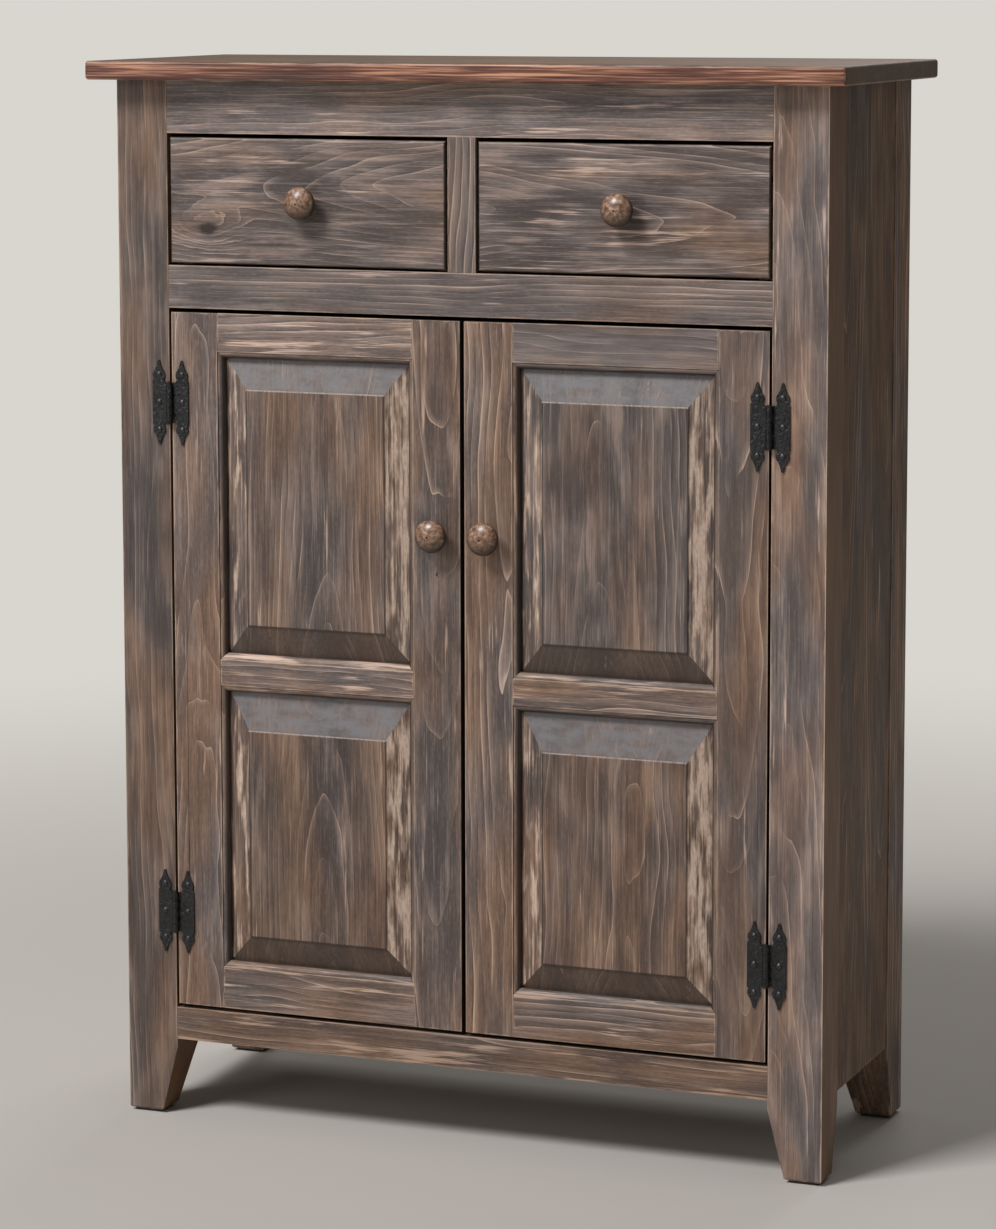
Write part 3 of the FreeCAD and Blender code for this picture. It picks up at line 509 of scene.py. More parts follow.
    def ring_radius(self, tree: Tree, board: Socket, board_noise: Socket, knotted: tuple[Socket, Socket],
                    cut: Cut, seed: float) -> tuple[Socket, Socket, Socket | None]:
        """Work out how far each point is from the pith, in millimetres, as the log grew.

        Args:
            tree: The node tree.
            board: Where a point lies in the board, in millimetres.
            board_noise: The same, moved to the board's own place in the noise.
            knotted: How far the point lies across and along from the board's middle.
            cut: How the board was sawn.
            seed: The board's own number.

        Returns:
            The distance from the pith, how fast it changes over the board's face, and how near a point is
            to the heart of a knot, if there is one.
        """
        drift = self.wander.draw(tree, board_noise, "Color")
        drift = add_node(tree, "VectorMath.SUBTRACT", (drift, (0.5, 0.5, 0.5)))
        drift = add_node(tree, "VectorMath.MULTIPLY_ADD", (drift, self.sway_mm, board))
        side, depth, along = add_node(tree, "SeparateXYZ", (drift,), slice(3))
        side = add_node(tree, "Math.SUBTRACT", (side, cut.pith_across_mm))
        lean = add_node(tree, "Math.MULTIPLY_ADD", (along, cut.lean, -cut.pith_depth_mm))
        depth = add_node(tree, "Math.ADD", (depth, lean))
        from_pith = add_node(tree, "CombineXYZ", (side, depth))
        radius = add_node(tree, "VectorMath.LENGTH", (from_pith,), "Value")
        rise = add_node(tree, "Math.MULTIPLY", (depth, cut.lean))
        on_face = add_node(tree, "CombineXYZ", (side, rise))
        on_face = add_node(tree, "VectorMath.LENGTH", (on_face,), "Value")
        slope = add_node(tree, "Math.DIVIDE", (on_face, radius))
        slope = add_node(tree, "Math.MAXIMUM", (slope, self.least_slope))
        heart = None
        for knot in cut.knots:
            radius, slope, near = self.swerve(tree, knot, board, knotted, radius, slope, cut.ring_mm)
            heart = near if heart is None else add_node(tree, "Math.MAXIMUM", (heart, near))
        waves = self.waves.draw(tree, board_noise)
        height = self.wave_height * cut.ring_mm
        radius = add_node(tree, "Math.MULTIPLY_ADD", (waves, height, radius))
        radius = add_node(tree, "Math.ADD", (radius, seed * RING_STEP * cut.ring_mm))
        return radius, slope, heart

    @staticmethod
    def swerve(tree: Tree, knot: Knot, board: Socket, knotted: tuple[Socket, Socket], radius: Socket,
               slope: Socket, ring_mm: float) -> tuple[Socket, Socket, Socket]:
        """Bend the rings round a knot.

        Args:
            tree: The node tree.
            knot: The knot.
            board: Where a point lies in the board, in millimetres.
            knotted: How far the point lies across and along from the board's middle.
            radius: The distance from the pith without the knot.
            slope: How fast that changes over the board's face.
            ring_mm: The width of a ring.

        Returns:
            The distance and its slope with the knot, and how near a point is to its heart.
        """
        side = add_node(tree, "Math.SUBTRACT", (knotted[0], knot.across_mm))
        rise = add_node(tree, "Math.SUBTRACT", (knotted[1], knot.along_mm))
        place = add_node(tree, "CombineXYZ", (side, rise))
        scale = (1 / knot.radius_mm, knot.slimness / knot.radius_mm, 1.0)
        place = add_node(tree, "VectorMath.MULTIPLY", (place, scale))
        swirl = Streaks(2.0 * knot.radius_mm, 3.0 * knot.radius_mm).draw(tree, board, "Color")
        stray = Vector((knot.waver, knot.waver, 0.0))
        place = add_node(tree, "VectorMath.MULTIPLY_ADD", (swirl, 2 * stray, place))
        place = add_node(tree, "VectorMath.SUBTRACT", (place, stray))
        away = add_node(tree, "VectorMath.LENGTH", (place,), "Value")
        hill = add_node(tree, "MapRange", (away, 0.0, knot.reach, 1.0, 0.0),
                        interpolation_type="SMOOTHERSTEP")
        # The rings are lifted over the hill, and crowd together on its flank
        height = knot.rings * ring_mm
        radius = add_node(tree, "Math.MULTIPLY_ADD", (hill, -height, radius))
        flank = add_node(tree, "Math.MULTIPLY_ADD", (hill, -1.0, 1.0))
        flank = add_node(tree, "Math.MULTIPLY", (hill, flank))
        steep = 2.0 * height / knot.radius_mm
        slope = add_node(tree, "Math.MULTIPLY_ADD", (flank, steep, slope))
        near = add_node(tree, "MapRange", (away, knot.core, knot.fringe, 1.0, 0.0))
        return radius, slope, near

    def rings(self, tree: Tree, radius: Socket, slope: Socket, board: Socket, fibre: Socket,
              ring_mm: float) -> tuple[Socket, Socket, Socket]:
        """Draw the growth rings.

        Args:
            tree: The node tree.
            radius: The distance from the pith, in millimetres.
            slope: How fast it changes over the board's face.
            board: Where a point lies in the board's noise, in millimetres.
            fibre: The fibre noise, which breaks up the lines.
            ring_mm: The width of a ring.

        Returns:
            The hard line of late wood, the glow of summer wood before it and the soft early wood after it.
        """
        turns = add_node(tree, "Math.DIVIDE", (radius, ring_mm))
        phase = add_node(tree, "Math.FRACT", (turns,))
        ring = add_node(tree, "Math.FLOOR", (turns,))
        vigour = add_node(tree, "TexWhiteNoise", {"W": ring}, noise_dimensions="1D")
        vigour = add_node(tree, "MapRange", (vigour, 0.0, 1.0, self.least_vigour, 1.0))
        fade = add_node(tree, "MapRange", (self.fading.draw(tree, board), 0.40, 0.62))
        strength = add_node(tree, "Math.MULTIPLY", (vigour, fade))
        # How far a point lies past its own ring's start and ahead of the next ring's, on the face
        width = add_node(tree, "Math.DIVIDE", (ring_mm, slope))
        past = add_node(tree, "Math.MULTIPLY", (phase, width))
        ahead = add_node(tree, "Math.SUBTRACT", (width, past))
        line = add_node(tree, "Math.MULTIPLY_ADD", (vigour, self.line_mm, 0.4 * self.line_mm))
        # Dark fibres break the hard line up
        broken = add_node(tree, "MapRange", (fibre, 0.36, 0.52, 0.45, 1.2))
        late = add_node(tree, "MapRange", (ahead, 0.0, line, 1.5, 0.0))
        late = add_node(tree, "Math.MULTIPLY", (late, strength))
        late = add_node(tree, "Math.MULTIPLY", (late, broken), use_clamp=True)
        summer = add_node(tree, "MapRange", (ahead, 0.0, self.glow_mm, 1.0, 0.0),
                          interpolation_type="SMOOTHSTEP")
        summer = add_node(tree, "Math.MULTIPLY", (summer, strength))
        # The early wood is darkest where it starts, and hardens over the first half of the ring
        shade = add_node(tree, "MapRange", (past, 0.0, self.shade_mm, 1.0, 0.0))
        early = add_node(tree, "MapRange", (phase, 0.0, 0.45, 0.6, 0.0))
        early = add_node(tree, "Math.MAXIMUM", (early, shade))
        early = add_node(tree, "Math.MULTIPLY", (early, vigour))
        return late, summer, early

    def arris(self, tree: Tree, in_mm: Socket, board: Socket, half: Vector) -> Socket:
        """Work out how worn each point is, from the distance to the nearest edge of the board's box. On a
        raised panel the same band is painted shade instead.

        On a face one of the three distances is nought, so the middle one is the distance to the edge.

        Args:
            tree: The node tree.
            in_mm: The three coordinates from the middle of the board, in millimetres.
            board: Where a point lies in the board's noise, in millimetres.
            half: Half of the box's size, in millimetres.

        Returns:
            The wear, or on a raised panel the painted shade, from 0 to 1.
        """
        size = add_node(tree, "VectorMath.ABSOLUTE", (in_mm,))
        inside = add_node(tree, "VectorMath.SUBTRACT", (tuple(half), size))
        inside = add_node(tree, "VectorMath.ABSOLUTE", (inside,))
        x, y, z = add_node(tree, "SeparateXYZ", (inside,), slice(3))
        low = add_node(tree, "Math.MINIMUM", (x, y))
        high = add_node(tree, "Math.MAXIMUM", (x, y))
        high = add_node(tree, "Math.MINIMUM", (high, z))
        distance = add_node(tree, "Math.MAXIMUM", (low, high))
        edge_fray = self.edge_fray.draw(tree, board)
        reach = add_node(tree, "MapRange", (edge_fray, 0.40, 0.68, self.least_edge_band_mm, self.most_edge_band_mm))
        return add_node(tree, "MapRange", (distance, 0.2, reach, 1.0, 0.0))

    def surface(self, tree: Tree, colour: Socket, figure: Figure) -> None:
        """Close the material: varnish over open pores and faintly raised late wood.

        Args:
            tree: The node tree.
            colour: Its colour.
            figure: The board's figure.
        """
        dull, glossy = self.roughness + 0.08, self.roughness - 0.08
        sheen = add_node(tree, "MapRange", (figure.fibre, 0.3, 0.7, dull, glossy))
        relief = add_node(tree, "Math.MULTIPLY_ADD", (figure.late_wood, 0.5, figure.fibre))
        close_material(tree, colour, sheen, relief, self.relief_mm, 0.5, IOR=1.48)


@dataclass(frozen=True)
class PlainPine(Pine):
    """Planed pine under clear lacquer, for the parts behind the fronts: straw-coloured, with tan rings."""

    name: str = "clear_pine"
    early: str = "#cbb08a"
    late: str = "#a37d54"
    coats: tuple[Coat, ...] = (
        Coat("cloud", 0.40, 0.70, 0.25),
        Coat("fibre", 0.52, 0.75, 0.35),
        Coat("late_wood", 0.0, 1.0, 0.75),
    )

    def colour(self, tree: Tree, figure: Figure, cut: Cut) -> Socket:
        """Colour the lacquered wood, darker in its late wood and along single fibres.

        Args:
            tree: The node tree.
            figure: The board's figure.
            cut: How it was sawn.

        Returns:
            The colour.
        """
        late = linear(self.late, cut.tone)
        return lay_coats(tree, linear(self.early, cut.tone),
                         [(late, coat.lay(tree, figure)) for coat in self.coats])


@dataclass(frozen=True)
class StainedPine(Pine):
    """Pine with a brushed driftwood stain, wiped back, rubbed at the edges and sealed with a dull varnish.

    The stain soaks into the soft early wood and lies thin on the hard late wood, so the rings show as pale
    lines on a grey-brown ground. On doors and drawer fronts, dark edges are painted shade on the edges that
    face the gaps and on the mouldings, with some stain drunk by the end grain.
    """

    name: str = "stained_pine"
    grey: str = "#655e5d"
    brown: str = "#745a4a"
    soaked: str = "#3c322f"
    bare_grey: str = "#c3aa9d"
    bare: str = "#c2a48d"
    rim: str = "#baa08c"
    knot: str = "#33261f"
    # Stain in open seams, and the painted shade of the dark edges
    gathered_stain_and_shade: str = "#211a16"
    flank: str = "#735232"
    contrast: float = 1.0
    strip_contrast: float = 0.3
    dark_edges: bool = False
    coats: tuple[Coat, ...] = (
        # Clouds and blots, where the board drank more stain or less
        Coat("cloud", 0.50, 0.36, 0.36, "blots", soaked=True),
        Coat("blotch", 0.52, 0.37, 0.36, "blots", soaked=True),
        Coat("blotch", 0.54, 0.68, 0.16, "blots"),
        # Soft early wood, dark streaks and open pores
        Coat("early_wood", 0.0, 1.0, 0.42, soaked=True),
        Coat("streak", 0.44, 0.36, 0.18, soaked=True),
        Coat("fibre", 0.42, 0.34, 0.50, soaked=True),
        # Light streaks and hairs, and the flecks of resin
        Coat("streak", 0.60, 0.68, 0.08),
        Coat("fibre", 0.60, 0.68, 0.28),
        Coat("fleck", 0.48, 0.36, 0.16, soaked=True),
        Coat("fleck", 0.54, 0.66, 0.08),
        # The rings
        Coat("summer_wood", 0.0, 1.0, 0.36, "lines"),
        Coat("late_wood", 0.0, 1.0, 0.80, "lines"),
    )

    def colour(self, tree: Tree, figure: Figure, cut: Cut) -> Socket:
        """Lay the stain over the wood and rub it back.

        Args:
            tree: The node tree.
            figure: The board's figure.
            cut: How it was sawn, and how the stain took.

        Returns:
            The colour.
        """
        # The clouds take the tint from the board's own warmth towards grey and towards brown
        tint = add_node(tree, "MapRange", (figure.cloud, 0.36, 0.64, cut.warmth - 0.5, cut.warmth + 0.5),
                        clamp=False)
        tint = add_node(tree, "Math.ADD", (tint, 0.0), use_clamp=True)
        ground = lay_coats(tree, linear(self.grey, cut.tone), [(linear(self.brown, cut.tone), tint)])
        bare = lay_coats(tree, linear(self.bare_grey, cut.tone), [(linear(self.bare, cut.tone), tint)])
        soaked = linear(self.soaked, cut.tone)
        coats = [(soaked, figure.strip, self.strip_contrast)]
        for coat in self.coats:
            cover = coat.lay(tree, figure, self.contrast * getattr(cut, coat.trait))
            coats.append((soaked if coat.soaked else bare, cover))
        # The more a board was rubbed, the more of it is wiped bare in patches
        start = 0.72 - 0.22 * cut.rubbed
        wiped = add_node(tree, "MapRange", (figure.patch, start, start + 0.09, 0.0, 0.8))
        coats += [(bare, wiped), (linear(self.rim, cut.tone), figure.arris, 0.75),
                  (linear(self.knot), figure.heart), (linear(self.gathered_stain_and_shade), figure.seam)]
        # Painted shade on the edges that face the gaps and on the mouldings, with some stain drunk by the
        # end grain
        if self.dark_edges:
            coats.append((linear(self.gathered_stain_and_shade), self.edge(tree, cut.grain)))
        if cut.brown_flank:
            coats.append((linear(self.flank), facing_mask(tree, facing(tree)[0], 0.6, 0.9, 0.72)))
        return lay_coats(tree, ground, coats)

    @staticmethod
    def edge(tree: Tree, grain: Grain) -> Socket:
        """Work out where a door's or a drawer's edges get painted shade, by the way they face.

        The mouldings get painted shade too, except those that face up towards the lamps.

        Args:
            tree: The node tree.
            grain: The way the board lies: its end grain drinks the stain even where it is rounded over, and
                gets painted shade too.

        Returns:
            The cover of the painted shade and of the stain in the end grain: full on an edge and 0 on the
            front and the back.
        """
        look = facing(tree)
        edge = facing_mask(tree, look[1], 0.45, 0.15, 0.85)
        moulding = facing_mask(tree, look[1], 0.985, 0.75, 0.80)
        # Painted shade on the mouldings that don't face up towards the lamps
        faces_away_from_lamps = add_node(tree, "MapRange", (look[2], 0.30, 0.05))
        moulding = add_node(tree, "Math.MULTIPLY", (moulding, faces_away_from_lamps))
        edge = add_node(tree, "Math.MAXIMUM", (edge, moulding))
        end = facing_mask(tree, look[grain.value[2]], 0.15, 0.6, 0.85)
        return add_node(tree, "Math.MAXIMUM", (edge, end))


@dataclass(frozen=True)
class RaisedPine(StainedPine):
    """The same stain on a raised panel.

    The bevels at its ends are nearly end grain, and mottled: the upper one, which faces up towards the
    lamps, has a painted sheen of pale blue-grey, and the lower one painted shade. The bevels at its sides
    are rubbed nearly bare. The raised box says where the edges of its field are: the upper one has a painted
    highlight, and the others painted shade.
    """

    name: str = "stained_pine_raised"
    # Painted shade along the panel's border under the frame, and along the field's side and lower edges
    rim: str = "#241c18"
    # A painted sheen for the upper bevel, which faces up towards the lamps, and painted shade for the lower
    # one
    painted_sheen_grey: str = "#7f7d80"
    painted_shade_brown: str = "#4a3c33"
    worn: str = "#baa08c"
    rubbed_bare: str = "#d8bfae"
    lit_arris: str = "#c3b3a9"
    least_edge_band_mm: float = 2.2
    most_edge_band_mm: float = 4.8
    mottle: Streaks = Streaks(22.0, 9.0, 5.0)
    rubbing: Streaks = Streaks(8.0, 46.0)
    raised_box: Box = (Vector(), Vector())

    def colour(self, tree: Tree, figure: Figure, cut: Cut) -> Socket:
        """Colour the field as any board, and each bevel by the way it faces.

        Args:
            tree: The node tree.
            figure: The board's figure.
            cut: How it was sawn, and how the stain took.

        Returns:
            The colour.
        """
        board = super().colour(tree, figure, cut)
        side, front, rise = facing(tree)
        mottle = add_node(tree, "MapRange", (self.mottle.draw(tree, figure.board), 0.34, 0.62, 0.35, 0.92))
        # The bevels, told apart by how far they look up, down or sideways
        top = add_node(tree, "MapRange", (rise, 0.08, 0.16))
        foot = add_node(tree, "MapRange", (rise, -0.08, -0.16, 0.0, 0.7))
        flank = facing_mask(tree, side, 0.12, 0.22)
        # The side bevels are rubbed thin and then bare in frayed patches, the right one more than the left
        start = add_node(tree, "MapRange", (side, -0.2, 0.2, 0.50, 0.40))
        reach = self.rubbing.fray(tree, figure.board, figure.streak, figure.fibre)
        reach = add_node(tree, "Math.SUBTRACT", (reach, start))
        thinned = add_node(tree, "MapRange", (reach, 0.0, 0.08, 0.0, 0.55))
        bared = add_node(tree, "MapRange", (reach, 0.09, 0.17, 0.0, 0.9))
        spots = add_node(tree, "MapRange", (figure.fleck, 0.36, 0.56, 0.45, 1.0))
        # The field's edges, on the field alone: painted shade along its sides and foot, below the step,
        # and a painted highlight along its upper edge
        from_top, nearest = self.field_edges(tree)
        level = add_node(tree, "MapRange", (front, -0.993, -0.998))
        # Painted shade along the field's side and lower edges
        gathered_stain_and_shade = add_node(tree, "MapRange", (nearest, 0.7, 1.6, 0.8, 0.0))
        # A painted highlight along the field's upper edge, which faces the lamps
        lip = add_node(tree, "MapRange", (from_top, 1.1, 2.0, 0.95, 0.0))
        return lay_coats(tree, board, (
            # Painted sheen on the upper bevel and painted shade on the lower one
            (linear(self.painted_sheen_grey), top, mottle),
            (linear(self.painted_shade_brown), foot),
            (linear(self.worn), thinned, flank),
            (linear(self.rubbed_bare), bared, flank, spots),
            (linear(self.rim), gathered_stain_and_shade, level),
            (linear(self.lit_arris), lip, level, spots),
            # Painted shade along the border, where the panel goes under the frame's moulding
            (linear(self.rim), figure.arris, 0.75),
        ))

    def field_edges(self, tree: Tree) -> tuple[Socket, Socket]:
        """Work out how far a point is from the edges of the panel's raised field.

        Args:
            tree: The node tree.

        Returns:
            The distance in millimetres from the upper edge, and from the nearest of the other three.
        """
        place = add_node(tree, "TexCoord", out="Object")
        in_mm = add_node(tree, "VectorMath.MULTIPLY", (place, (1 / MM,) * 3))
        x, _, z = add_node(tree, "SeparateXYZ", (in_mm,), slice(3))
        low, high = [corner / MM for corner in self.raised_box]
        gaps = []
        for line, edge in ((z, high.z), (x, low.x), (x, high.x), (z, low.z)):
            gap = add_node(tree, "Math.SUBTRACT", (line, edge))
            gaps.append(add_node(tree, "Math.ABSOLUTE", (gap,)))
        from_top, left, right, foot = gaps
        nearest = add_node(tree, "Math.MINIMUM", (left, right))
        return from_top, add_node(tree, "Math.MINIMUM", (nearest, foot))


@dataclass(frozen=True)
class GlazedPine(StainedPine):
    """The top's stain: a warm brown, with a red glaze brushed along the front edge."""

    name: str = "glazed_pine"
    grey: str = "#77604d"
    brown: str = "#7d5f47"
    soaked: str = "#48342a"
    bare_grey: str = "#ad8f73"
    bare: str = "#aa8b6c"
    glaze: str = "#74493a"
    ember: str = "#d39a7a"
    char: str = "#432a25"
    end: str = "#4b3929"
    fine_glow: Streaks = Streaks(2.2, 95.0, 4.0)
    broad_glow: Streaks = Streaks(7.0, 150.0, 2.0)
    pits: Streaks = Streaks(5.0, 1.0)
    roughness: float = 0.42

    def colour(self, tree: Tree, figure: Figure, cut: Cut) -> Socket:
        """Colour the board, glaze the edge that faces the front and darken the ends, which drink the stain.

        Args:
            tree: The node tree.
            figure: The board's figure.
            cut: How it was sawn, and how the stain took.

        Returns:
            The colour.
        """
        board = super().colour(tree, figure, cut)
        side, front, _ = facing(tree)
        edge = add_node(tree, "MapRange", (front, -0.35, -0.75))
        fine = self.fine_glow.draw(tree, figure.board)
        broad = self.broad_glow.draw(tree, figure.board)
        glow = add_node(tree, "Math.MULTIPLY_ADD", (broad, 0.8, fine))
        # The glaze has light streaks above the noise's middle level and dark ones below it
        embers = add_node(tree, "MapRange", (glow, 0.88, 1.10))
        chars = add_node(tree, "MapRange", (glow, 0.88, 0.72, 0.0, 0.9))
        end = facing_mask(tree, side, 0.5, 0.9, 0.8)
        pits = add_node(tree, "MapRange", (self.pits.draw(tree, figure.board), 0.35, 0.6, 1.0, 0.5))
        return lay_coats(tree, board, (
            (linear(self.glaze), edge),
            (linear(self.char), chars, edge),
            (linear(self.ember), embers, edge),
            (linear(self.rim), figure.arris, edge),
            (linear(self.end), end, pits),
        ))


# ---------------------------------------------------------------- hardware
@dataclass(frozen=True)
class TurnedKnob:
    """A birch knob turned on a lathe, dipped in brown stain and lacquered.

    Its face is mottled and rubbed pale by fingers. Round its rim and on its neck it darkens, most
    underneath:
    partly thicker stain, partly painted shade.
    """

    name: str = "turned_birch"
    brown: str = "#8e6b55"
    dark: str = "#3f2a1b"
    light: str = "#d0b5a2"
    # The rim and the underside: partly thicker stain, partly painted shade
    rim: str = "#2c1c12"
    fleck_mm: float = 4.5
    pore_mm: float = 1.1
    pore_depth_mm: float = 0.3
    roughness: float = 0.40

    def build(self) -> Material:
        """Return the finish of the knobs."""
        material, tree = new_material(self.name)
        place = add_node(tree, "TexCoord", out="Object")
        noises = []
        for size, detail in ((self.fleck_mm, 4.0), (self.pore_mm, 2.0)):
            scale = (1 / size / MM, 0.4 / size / MM, 1 / size / MM)
            spot = add_node(tree, "VectorMath.MULTIPLY", (place, scale))
            noises.append(add_node(tree, "TexNoise", {"Vector": spot, "Scale": 1.0, "Detail": detail,
                                                      "Roughness": 0.6}))
        flecks, pores = noises
        _, front, rise = facing(tree)
        # How far a point turns away from the front, less where it looks up, for painted shade underneath,
        # and unevenly along the flecks
        turned = add_node(tree, "Math.MULTIPLY_ADD", (rise, -0.6, front))
        turned = add_node(tree, "Math.MULTIPLY_ADD", (flecks, 0.5, turned))
        rim = add_node(tree, "MapRange", (turned, -0.78, -0.10, 0.0, 0.92))
        dark = add_node(tree, "MapRange", (flecks, 0.48, 0.34, 0.0, 0.8))
        light = add_node(tree, "MapRange", (flecks, 0.50, 0.66, 0.0, 0.7))
        specks = add_node(tree, "MapRange", (pores, 0.44, 0.36, 0.0, 0.6))
        colour = lay_coats(tree, linear(self.brown), (
            (linear(self.dark), dark),
            (linear(self.light), light),
            (linear(self.dark), specks),
            # Painted shade, with some thicker stain, round the rim and underneath
            (linear(self.rim), rim),
        ))
        dull, glossy = self.roughness + 0.08, self.roughness - 0.06
        sheen = add_node(tree, "MapRange", (flecks, 0.3, 0.7, dull, glossy))
        close_material(tree, colour, sheen, pores, self.pore_depth_mm, 0.3, IOR=1.5,
                       Specular_IOR_Level=0.3, Coat_Weight=0.6, Coat_Roughness=0.26)
        return material


@dataclass(frozen=True)
class Coated:
    """A plain hard surface with a fine unevenness: lacquered iron, bright zinc or moulded plastic.

    Its colour clouds over into its shade. Faces that turn away from the front may be darkened with painted
    shade.
    """

    name: str
    colour: str
    shade: str
    roughness: float
    dent_mm: float
    dent_depth_mm: float
    metallic: float = 0.0
    # Painted shade on faces that turn away from the front
    turned: str | None = None

    def build(self) -> Material:
        """Return the finish."""
        material, tree = new_material(self.name)
        place = add_node(tree, "TexCoord", out="Object")
        place = add_node(tree, "VectorMath.MULTIPLY", (place, (1 / self.dent_mm / MM,) * 3))
        dents = add_node(tree, "TexNoise", {"Vector": place, "Scale": 1.0, "Detail": 2.0,
                                            "Distortion": 0.4})
        cloud = add_node(tree, "TexNoise", {"Vector": place, "Scale": 0.35, "Detail": 3.0})
        tint = add_node(tree, "MapRange", (cloud, 0.35, 0.65))
        coats = [(linear(self.shade), tint)]
        # Painted shade on faces that turn away from the front
        if self.turned:
            away = add_node(tree, "MapRange", (facing(tree)[1], -0.97, -0.80))
            coats.append((linear(self.turned), away))
        colour = lay_coats(tree, linear(self.colour), coats)
        glossy, dull = self.roughness - 0.05, self.roughness + 0.08
        sheen = add_node(tree, "MapRange", (cloud, 0.35, 0.65, glossy, dull))
        close_material(tree, colour, sheen, dents, self.dent_depth_mm, 1.0, Metallic=self.metallic)
        return material


# ---------------------------------------------------------------- assemblies
class Side(Enum):
    """A side of the cupboard, by the name that its nodes' names start with."""

    LEFT = "left"
    RIGHT = "right"


@dataclass
class CaseWork:
    """The case: posts, rails, side panels, back, floor, shelves and top."""

    finish: StainedPine = StainedPine()
    top_finish: GlazedPine = GlazedPine()
    flank_finish: StainedPine = StainedPine(name="stained_pine_flank", brown="#715133")
    inner_finish: StainedPine = StainedPine(name="stained_pine_inside", contrast=0.8)
    plain_finish: PlainPine = PlainPine()
    eased_mm: float = 0.6
    outer: dict[str, Cut] = field(default_factory=lambda: {
        "front_left_post": Cut(Grain.UPRIGHT, 60.0, 45.0, 0.008, 4.5, 0.62, 0.95, 0.06, blots=1.45,
                               lines=0.6, fibres=0.5, brown_flank=True),
        "front_right_post": Cut(Grain.UPRIGHT, -30.0, 62.0, -0.050, 5.5, 0.32, 1.54, 0.12, blots=1.45,
                                lines=0.5, fibres=0.4, brown_flank=True),
        "top_rail": Cut(Grain.LEVEL, -75.0, 60.0, 0.020, 6.0, 0.09, 1.52, 0.15, blots=1.2),
        "middle_rail": Cut(Grain.LEVEL, -80.0, 50.0, 0.020, 5.5, 0.02, 1.15, 0.20),
        "bottom_rail": Cut(Grain.LEVEL, 48.0, 40.0, 0.020, 6.0, 0.92, 1.0, 0.65),
        "drawer_mullion": Cut(Grain.UPRIGHT, 45.0, 50.0, 0.010, 5.0, 0.30, fibres=0.85),
    })
    flanks: dict[str, Cut] = field(default_factory=lambda: {
        "left_side_panel": Cut(Grain.FLANK, 20.0, 90.0, 0.060, 7.0, 1.10, 0.92, 0.10, 2),
        "right_side_panel": Cut(Grain.FLANK, 30.0, 90.0, 0.060, 7.0, 1.10, 0.92, 0.10, 2),
        "rear_left_post": Cut(Grain.UPRIGHT, 80.0, lean=0.015, ring_mm=6.0, warmth=0.70),
        "rear_right_post": Cut(Grain.UPRIGHT, -80.0, lean=0.015, ring_mm=6.0, warmth=0.70),
    })
    inner: dict[str, Cut] = field(default_factory=lambda: {
        "back_boards": Cut(Grain.UPRIGHT, 0.0, 60.0, 0.030, 8.0, 0.58, 1.15, 0.2, 7, open_seams=True),
        "cabinet_floor": Cut(Grain.SHELF, 10.0, 60.0, 0.020, 8.0, 0.51, 1.0, 0.2, 3),
        "lower_shelf": Cut(Grain.SHELF, 10.0, 60.0, 0.020, 8.0, 0.51, 1.0, 0.2, 3),
        "upper_shelf": Cut(Grain.SHELF, -10.0, 60.0, 0.025, 8.0, 0.51, 1.0, 0.2, 3),
        "rear_rails": Cut(Grain.LEVEL, 50.0, lean=0.020, ring_mm=6.0, tone=0.9),
    })
    hidden: dict[str, Cut] = field(default_factory=lambda: {
        "drawer_runners": Cut(Grain.RUNNER, lean=0.020, ring_mm=5.0),
        "drawer_kickers": Cut(Grain.RUNNER, lean=0.020, ring_mm=5.0),
        "drawer_stops": Cut(Grain.LEVEL, lean=0.020, ring_mm=5.0),
    })
    top: Cut = Cut(Grain.SHELF, 10.0, ring_mm=8.0, rubbed=0.35, strips=3)

    def dress(self) -> None:
        """Give each board of the case its own cut of the right finish.

        Loose boards keep their sharp edges, because they touch each other along them.
        """
        for finish, cuts in ((self.finish, self.outer), (self.flank_finish, self.flanks),
                             (self.inner_finish, self.inner), (self.plain_finish, self.hidden),
                             (self.top_finish, {"top_board": self.top})):
            for name, cut in cuts.items():
                eased_mm = 0.0 if cut.open_seams else self.eased_mm
                dress(name, finish.build(name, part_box(name), cut), eased_mm)


